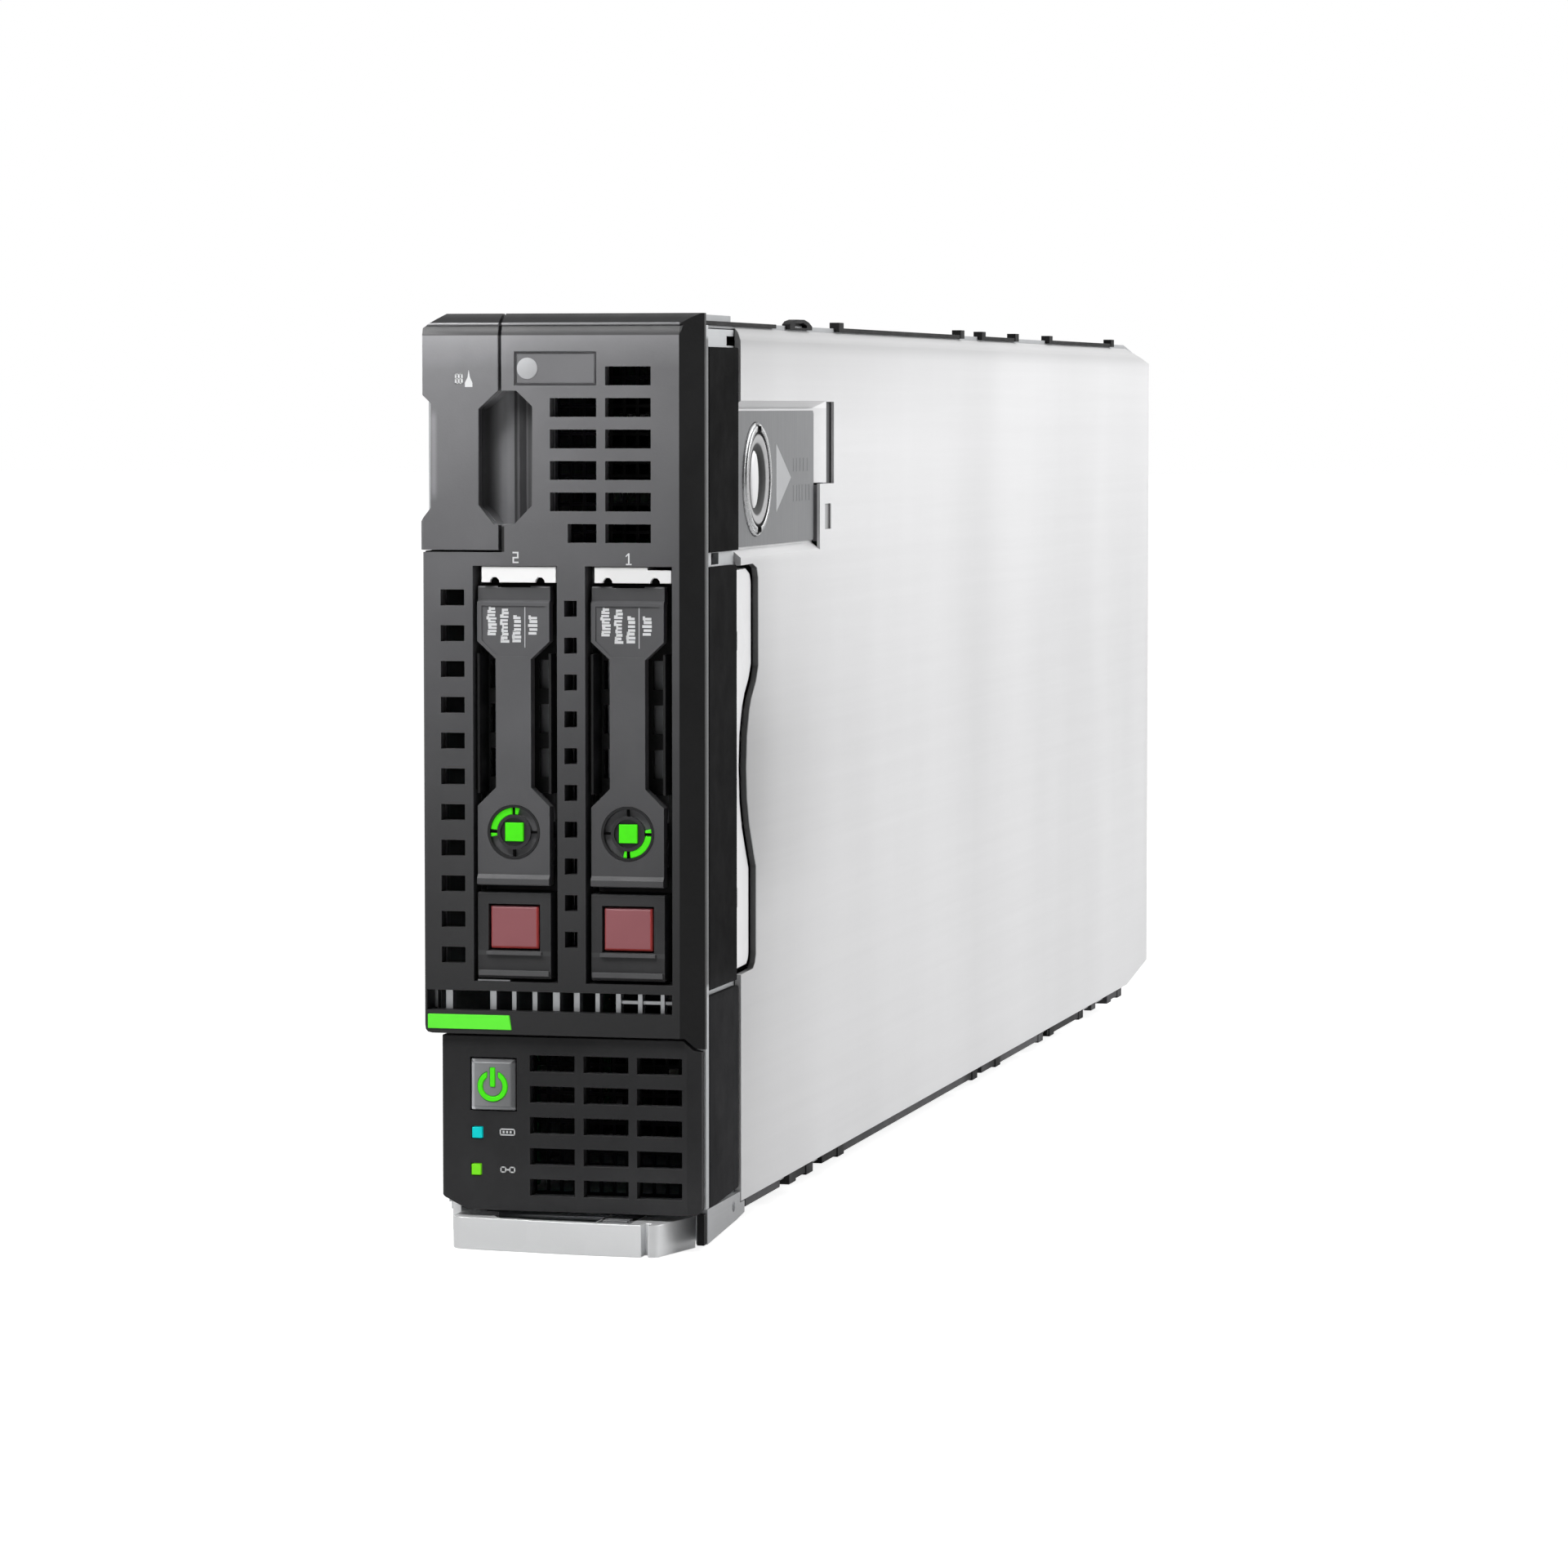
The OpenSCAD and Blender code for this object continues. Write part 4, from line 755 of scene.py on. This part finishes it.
# --- blank badge: satin field with a fine frame, and a plain round boss where a mark would sit
s = Shape()
x0, x1, z0, z1 = -8.75, 7.25, 167.05, 173.25
for a, b, c, d in ((x0, x1, z1 - 0.22, z1), (x0, x1, z0, z0 + 0.22), (x0, x0 + 0.22, z0 + 0.2, z1 - 0.2), (x1 - 0.22, x1, z0 + 0.2, z1 - 0.2)):
    s.box(a, b, 0.12, 0.36, c, d)
badge_rim = plastic("badge_rim", "4c4c4e", 0.40, 0.1, 0.05)
s.done("badge_rim", "chassis", "bezel_plastic", badge_rim, 0.05)
s = Shape()
s.prism([(x0 + 0.3, z0 + 0.3), (x1 - 0.3, z0 + 0.3), (x1 - 0.3, z1 - 0.3), (x0 + 0.3, z1 - 0.3)], 0.26, 0.36)
badge_face = plastic("badge_face", "6f6f71", 0.38, 0.18, 0.05)
s.done("badge_field", "chassis", "bezel_plastic", badge_face, 0.04)
s = Shape()
s.lathe("y", -6.35, 170.15, [(0, 0.10), (1.75, 0.10), (2.05, 0.2), (2.05, 0.3), (0, 0.3)], 40)
s.done("badge_boss", "chassis", "label_grey", ink_mid)

# --- small generic marks on the tab: a hatched square and a pointer
s = Shape()
for i in range(3):
    s.box(-20.7 + 0.62 * i, -20.38 + 0.62 * i, -0.03, 0.02, 167.2, 169.2)
for z in (167.2, 168.1, 169.0):
    s.box(-20.7, -19.15, -0.03, 0.02, z, z + 0.2)
s.prism([(-18.7, 166.6), (-17.2, 166.6), (-17.2, 167.4), (-17.7, 168.5), (-17.95, 169.9), (-18.15, 168.5), (-18.7, 167.4)], -0.03, 0.02)
s.done("tab_marks", "info_tab", "label_grey", ink_pale)

# --- generic pictograms beside the lamps: a port outline and two joined squares
s = Shape()
for a, b, c, d in ((-12.6, -9.5, 23.1, 23.35), (-12.6, -9.5, 22.0, 22.25), (-12.6, -12.35, 22.0, 23.35), (-9.75, -9.5, 22.0, 23.35)):
    s.box(a, b, 1.27, 1.32, c, d)
for x in (-12.0, -11.3, -10.6):
    s.box(x, x + 0.38, 1.27, 1.32, 22.45, 22.9)
for x in (-12.5, -10.7):
    s.box(x, x + 1.2, 1.27, 1.32, 14.75, 15.0)
    s.box(x, x + 1.2, 1.27, 1.32, 15.7, 15.95)
    s.box(x, x + 0.25, 1.27, 1.32, 14.75, 15.95)
    s.box(x + 0.95, x + 1.2, 1.27, 1.32, 14.75, 15.95)
s.box(-11.35, -10.65, 1.27, 1.32, 15.22, 15.48)
s.done("lamp_marks", "chassis", "label_grey", ink_pale)

# --- dark sheets standing for shade in the slit under the tab and behind the lips' notches, and the ledge in the left bay
s = Shape()
s.box(-27.1, -11.5, 1.3, 5.2, 134.91, 135.12)
s.done("tab_slit_shade", "chassis", "dark_plastic", shade_and_tick_black)
s = Shape()
for a, b in ((-15.3, -1.1), (7.2, 21.8)):
    s.box(a, b, 1.5, 1.9, 129.0, 131.2)
s.done("lip_notch_shade", "chassis", "dark_plastic", shade_and_tick_black)
s = Shape()
s.box(-16.9, -10.4, 1.2, 5.0, 52.02, 52.3)
s.done("bay_ledge", "chassis", "sheet_metal", M["sheet_metal"])

# --- print on the two carrier handles: rows of short plain dashes, unreadable and without letters
for tag, cx in (("left", -9.4), ("right", 13.3)):
    r2 = random.Random(11)
    s = Shape()
    for a, b, lo, hi, n in ((-5.4, -3.3, 118.9, 124.4, 9), (-2.7, -0.8, 117.5, 124.3, 10), (-0.3, 1.6, 117.6, 122.8, 7), (2.9, 4.9, 119.1, 122.8, 5)):
        h = (hi - lo) / n
        for i in range(n):
            z = lo + h * i
            d = r2.uniform(0.0, 0.5)
            s.box(cx + a + d, cx + b - r2.uniform(0.0, 0.4), 0.75, 0.82, z, z + h * r2.uniform(0.62, 0.82))
            if r2.random() < 0.6:
                w = r2.uniform(0.3, 0.7)
                s.box(cx + a + d, cx + a + d + w, 0.75, 0.82, z + h * 0.62, z + h * 1.0)
    s.done("handle_print_" + tag, "drive_handle_" + tag, "label_grey", ink_pale)
    s = Shape()
    s.box(cx + 2.22, cx + 2.38, 0.76, 0.82, 116.6, 124.4)
    s.done("handle_rule_" + tag, "drive_handle_" + tag, "label_grey", ink_faint)
    # small cross ticks at the quarter points of the status ring
    s = Shape()
    for a in range(4):
        t = math.pi / 2 * a
        c, q = math.cos(t), math.sin(t)
        pts = [(3.0, -0.22), (4.72, -0.22), (4.72, 0.22), (3.0, 0.22)]
        s.prism([(cx + u * c - v * q, 81 + u * q + v * c) for u, v in pts], 0.82, 1.35)
    s.done("ring_ticks_" + tag, "drive_handle_" + tag, "dark_plastic", shade_and_tick_black)

# --- cover: pointer and two blank blocks printed on the latch plate
s = Shape()
s.prism([(68.2, 141.5), (81.2, 148.4), (68.2, 155.4)], 26.45, 26.54, "yz")
s.done("cover_pointer", "side_cover", "label_grey", ink_faint)
s = Shape()
r2 = random.Random(5)
for z0, z1 in ((149.6, 152.3), (143.5, 146.8)):
    y = 83.2
    while y < 98:
        w = r2.uniform(1.2, 2.8)
        s.box(26.45, 26.54, y, min(y + w, 98.8), z0, z1)
        y += w + 0.7
cover_print = plastic("cover_print", "8d8e90", 0.50, 0.05, 0.04, spec=0.1)
s.done("cover_print", "side_cover", "label_grey", cover_print)

# --- inner walls seen through the two slots beside the latch pocket
wall_mat = plastic("pocket_wall", "68686a", 0.60, 0.10, 0.04, spec=0.1)
# painted light on the walls: lighter at the front, falling into shade towards the rear
shade_by(wall_mat, wall_mat.remap(wall_mat.axis("Y"), (109 - YM) / 1000, (115 - YM) / 1000, 1.9, 0.45))
s = Shape()
s.box(26.62, 26.92, 108.7, 119.6, 146.7, 163.9)
s.box(25.95, 27.0, 102.9, 103.3, 134.9, 146.6)
s.done("pocket_walls", "side_cover", "satin_panel", wall_mat)

# --- oval thumb boss in the dished latch; its near-white finish is a painted highlight on a real boss, beside the painted dark eye of the button's dish
s = Shape()
seg = 36
rows = []
for k, h in ((1.0, 25.75), (1.0, 26.7), (0.93, 26.9), (0.78, 27.03), (0.5, 27.12), (0.2, 27.15)):
    rows.append([s.bm.verts.new(P(h, 48.5 + 3.1 * k * math.cos(2 * math.pi * i / seg), 148.4 + 5.7 * k * math.sin(2 * math.pi * i / seg)))
                 for i in range(seg)])
for p_, q_ in zip(rows, rows[1:]):
    for i in range(seg):
        j = (i + 1) % seg
        s.bm.faces.new([p_[i], q_[i], q_[j], p_[j]])
s.bm.faces.new(rows[0][::-1])
s.bm.faces.new(rows[-1])
boss_metal = sheet_metal("boss_metal", "f4f4f5", 0.38, 0.10, (1, 1, 1), 0.02)
s.done("latch_boss", "cover_latch", "latch_metal", boss_metal)

# --- pale edge line down the right of the lower plate
s = Shape()
s.box(27.16, 27.42, 5.5, 7.5, 9.0, 39.0)
s.done("lower_edge_line", "chassis", "sheet_metal", M["sheet_metal"])

# --- rivets and screws of the folded tub
s = Shape()
for z in (20, 96, 166):
    for y in (52, 116, 300, 462):
        s.lathe("x", y, z, [(0, -27.2), (2.2, -27.2), (2.2, -27.45), (1.5, -27.68), (0, -27.74)], 20)
s.done("tub_rivets", "chassis", "pin_steel", M["pin_steel"])
s = Shape()
for z in (13, 172):
    for x in (-23.6, 23.6):
        s.screw("y", x, z, 504.15, 1, 1.9, 1.3)
for z in (52.5, 125.5):
    for x in (-19, -2.5):
        s.screw("y", x, z, 504.0, 1, 2.2, 1.5)
s.done("rear_screws", "chassis", "pin_steel", M["pin_steel"])
# three countersunk screws under the front side blocks are hidden; the bracket carries one outside
s = Shape()
s.lathe("x", 27.5, 5.9, [(0, 27.45), (1.15, 27.45), (1.15, 27.62), (0.8, 27.72), (0, 27.73)], 24)
s.done("bracket_rivet", "chassis", "pin_steel", M["pin_steel"])

# --- contacts of the rear connectors
s = Shape()
for i in range(5):
    for k in range(14):
        x = -19.6 + 4 * i
        z = 62.2 + 4.2 * k
        s.box(x + 0.35, x + 0.75, 506.9, 511.8, z + 0.5, z + 1.7)
        s.box(x + 1.45, x + 1.85, 506.9, 511.8, z + 0.5, z + 1.7)
s.done("signal_contacts", "chassis", "latch_metal", gold)
s = Shape()
for i in range(4):
    for z in (18, 33):
        x = -17.8 + 4.6 * i
        s.box(x + 0.2, x + 0.7, 504.9, 510.6, z + 1, z + 11)
        s.box(x + 1.3, x + 1.8, 504.9, 510.6, z + 1, z + 11)
s.done("power_contacts", "chassis", "latch_metal", gold)

# --- inside: what shows when the cover lifts off
CPU = (192, 329)
s = Shape()
for y in CPU:
    for a in (-35, 35):
        for b in (-35, 35):
            s.lathe("x", y + a, 92 + b, [(0, -7.1), (3.0, -7.1), (3.0, -6.5), (1.6, -6.3), (1.6, 2.4), (2.9, 2.6), (2.9, 4.4), (2.3, 5.0),
                                         (1.0, 5.0), (1.0, 3.8), (0, 3.6)], 24)
s.done("sink_screws", "chassis", "pin_steel", M["pin_steel"])
s = Shape()
for y in CPU:
    for a in (-35, 35):
        for b in (-35, 35):
            pts = []
            for k in range(6 * 14 + 1):
                t = 2 * math.pi * k / 14
                pts.append((-6.2 + 8.0 * k / 84, y + a + 2.45 * math.cos(t), 92 + b + 2.45 * math.sin(t)))
            s.rod(pts, 0.28, 6)
s.done("sink_springs", "chassis", "pin_steel", spring_steel)

DIMM = (20, 28.4, 36.8, 45.2, 139, 147.4, 155.8, 164.2)
s = Shape()
for y in CPU:
    for z in DIMM:
        for i in range(9):
            c = y - 61 + 13.9 * i
            s.box(-12.55, -2.9, c - 0.1, c + 10.7, z - 1.95, z + 1.95)
s.done("memory_chips", "chassis", "part_dark", black_chip, 0.12)
s = Shape()
for y in CPU:
    for z in DIMM:
        for k in range(60):
            c = y - 62 + 2.05 * k
            if abs(c - y + 4) > 2.5:
                for q in (-1, 1):
                    s.box(-15.2, -13.4, c, c + 1.2, z + q * 0.62 - 0.05, z + q * 0.62 + 0.05)
s.done("memory_pads", "chassis", "latch_metal", gold)
s = Shape()
for y in CPU:
    for z in DIMM:
        s.box(-11.6, -5.2, y - 9, y + 24, z + 1.96, z + 2.04)
s.done("memory_labels", "chassis", "label_grey", paper)
s = Shape()
for y in CPU:
    for z in DIMM:
        for q in (-1, 1):
            s.prism([(-10.4, z - 2.1), (-7.0, z - 2.1), (-6.2, z - 1.2), (-6.2, z + 1.2), (-7.0, z + 2.1), (-10.4, z + 2.1)],
                    y + q * 67.5 - 1.4, y + q * 67.5 + 1.4)
s.done("memory_catches", "chassis", "white_plastic", latch_white, 0.35, 2)

# scattered small parts in the free zones of the board, with tinned ends
s1, s2, s3, s4 = Shape(), Shape(), Shape(), Shape()
r3 = random.Random(29)
zones = ((254, 262, 14, 168), (386, 396, 16, 50), (386, 397, 138, 170), (402, 442, 48, 54), (400, 436, 14, 17), (404, 410, 90, 168),
         (428, 438, 60, 150), (466, 496, 58, 120), (466, 496, 150, 170), (442, 464, 84, 120), (456, 470, 128, 150))
taken = []
for y0, y1, z0, z1 in zones:
    for _ in range(int((y1 - y0) * (z1 - z0) / 14)):
        big = r3.random() < 0.16
        L, W = ((3.2, 2.5) if big else (1.7, 0.9))
        if r3.random() < 0.5:
            L, W = W, L
        y, z = r3.uniform(y0, y1 - L), r3.uniform(z0, z1 - W)
        if any(y < t[1] + 0.5 and y + L > t[0] - 0.5 and z < t[3] + 0.5 and z + W > t[2] - 0.5 for t in taken):
            continue
        taken.append((y, y + L, z, z + W))
        h = 1.3 if big else 0.6
        e = 0.24
        body = s1 if r3.random() < 0.55 else s2
        if L > W:
            body.box(-22.02, -22 + h, y + e, y + L - e, z, z + W)
            s3.box(-22.02, -22 + h * 0.96, y, y + e, z + 0.04, z + W - 0.04)
            s3.box(-22.02, -22 + h * 0.96, y + L - e, y + L, z + 0.04, z + W - 0.04)
        else:
            body.box(-22.02, -22 + h, y, y + L, z + e, z + W - e)
            s3.box(-22.02, -22 + h * 0.96, y + 0.04, y + L - 0.04, z, z + e)
            s3.box(-22.02, -22 + h * 0.96, y + 0.04, y + L - 0.04, z + W - e, z + W)
# a few chips with rows of feet
for y, z, L, W in ((404, 92, 8, 6), (446, 90, 12, 12), (470, 66, 10, 14), (470, 96, 14, 10), (468, 154, 12, 12), (388, 142, 7, 12)):
    s4.box(-22.02, -20.6, y, y + L, z, z + W)
    for k in range(int(L / 1.1)):
        s3.box(-22.02, -21.6, y + 0.3 + 1.1 * k, y + 0.75 + 1.1 * k, z - 0.8, z)
        s3.box(-22.02, -21.6, y + 0.3 + 1.1 * k, y + 0.75 + 1.1 * k, z + W, z + W + 0.8)
s1.done("board_ceramics", "chassis", "part_dark", ceramic)
s2.done("board_resistors", "chassis", "part_dark", black_chip)
s3.done("board_solder", "chassis", "chip_metal", solder)
s4.done("board_chips", "chassis", "part_dark", black_chip, 0.1)

# vented tops on the capacitors
s = Shape()
for y in CPU:
    for i in range(8):
        z = 58 + 8.6 * i
        s.lathe("x", y - 58, z, [(0, -13.05), (3.12, -13.05), (3.12, -12.9), (2.9, -12.72), (0, -12.72)], 24)
s.done("capacitor_tops", "chassis", "chip_metal", solder)
s = Shape()
for y in CPU:
    for i in range(8):
        z = 58 + 8.6 * i
        s.lathe("x", y - 58, z, [(0, -21.0), (3.16, -21.0), (3.2, -20.8), (3.2, -13.6), (3.12, -13.3), (0, -13.3)], 28)
s.done("capacitor_sleeves", "chassis", "part_dark", cap_sleeve)

# small parts on the mezzanine card and blank labels on the drives
s, q = Shape(), Shape()
for _ in range(150):
    y, z = r3.uniform(406, 490), r3.uniform(62, 168)
    if 434 < y < 472 and 98 < z < 136 or 476 < y and 66 < z < 98 or 410 < y < 426 and 64 < z < 168:
        continue
    s.box(-4.52, -3.9, y, y + 1.5, z, z + 0.8)
    q.box(-4.52, -3.95, y - 0.25, y, z + 0.05, z + 0.75)
    q.box(-4.52, -3.95, y + 1.5, y + 1.75, z + 0.05, z + 0.75)
s.done("mezzanine_parts", "chassis", "part_dark", ceramic)
q.done("mezzanine_solder", "chassis", "chip_metal", solder)

for tag, cx in (("left", -9.4), ("right", 13.3)):
    s = Shape()
    x = cx + 6.5 - 0.6
    s.prism([(24, 64), (90, 64), (91, 65), (91, 76), (90, 77), (60, 77), (60, 117), (59, 118), (24, 118), (23, 117), (23, 65)], x + 0.0, x + 0.08, "yz")
    s.done("drive_label_" + tag, "drive_unit_" + tag, "label_grey", paper)
    s = Shape()
    for z0, z1, y0, y1 in ((68, 73, 28, 56), (68, 70, 62, 84), (72, 73, 62, 80)):
        y = y0
        while y < y1:
            w = r3.uniform(0.3, 1.1)
            s.box(x + 0.05, x + 0.14, y, y + w, z0, z1)
            y += w + r3.uniform(0.3, 0.9)
    s.done("drive_print_" + tag, "drive_unit_" + tag, "part_dark", black_chip)
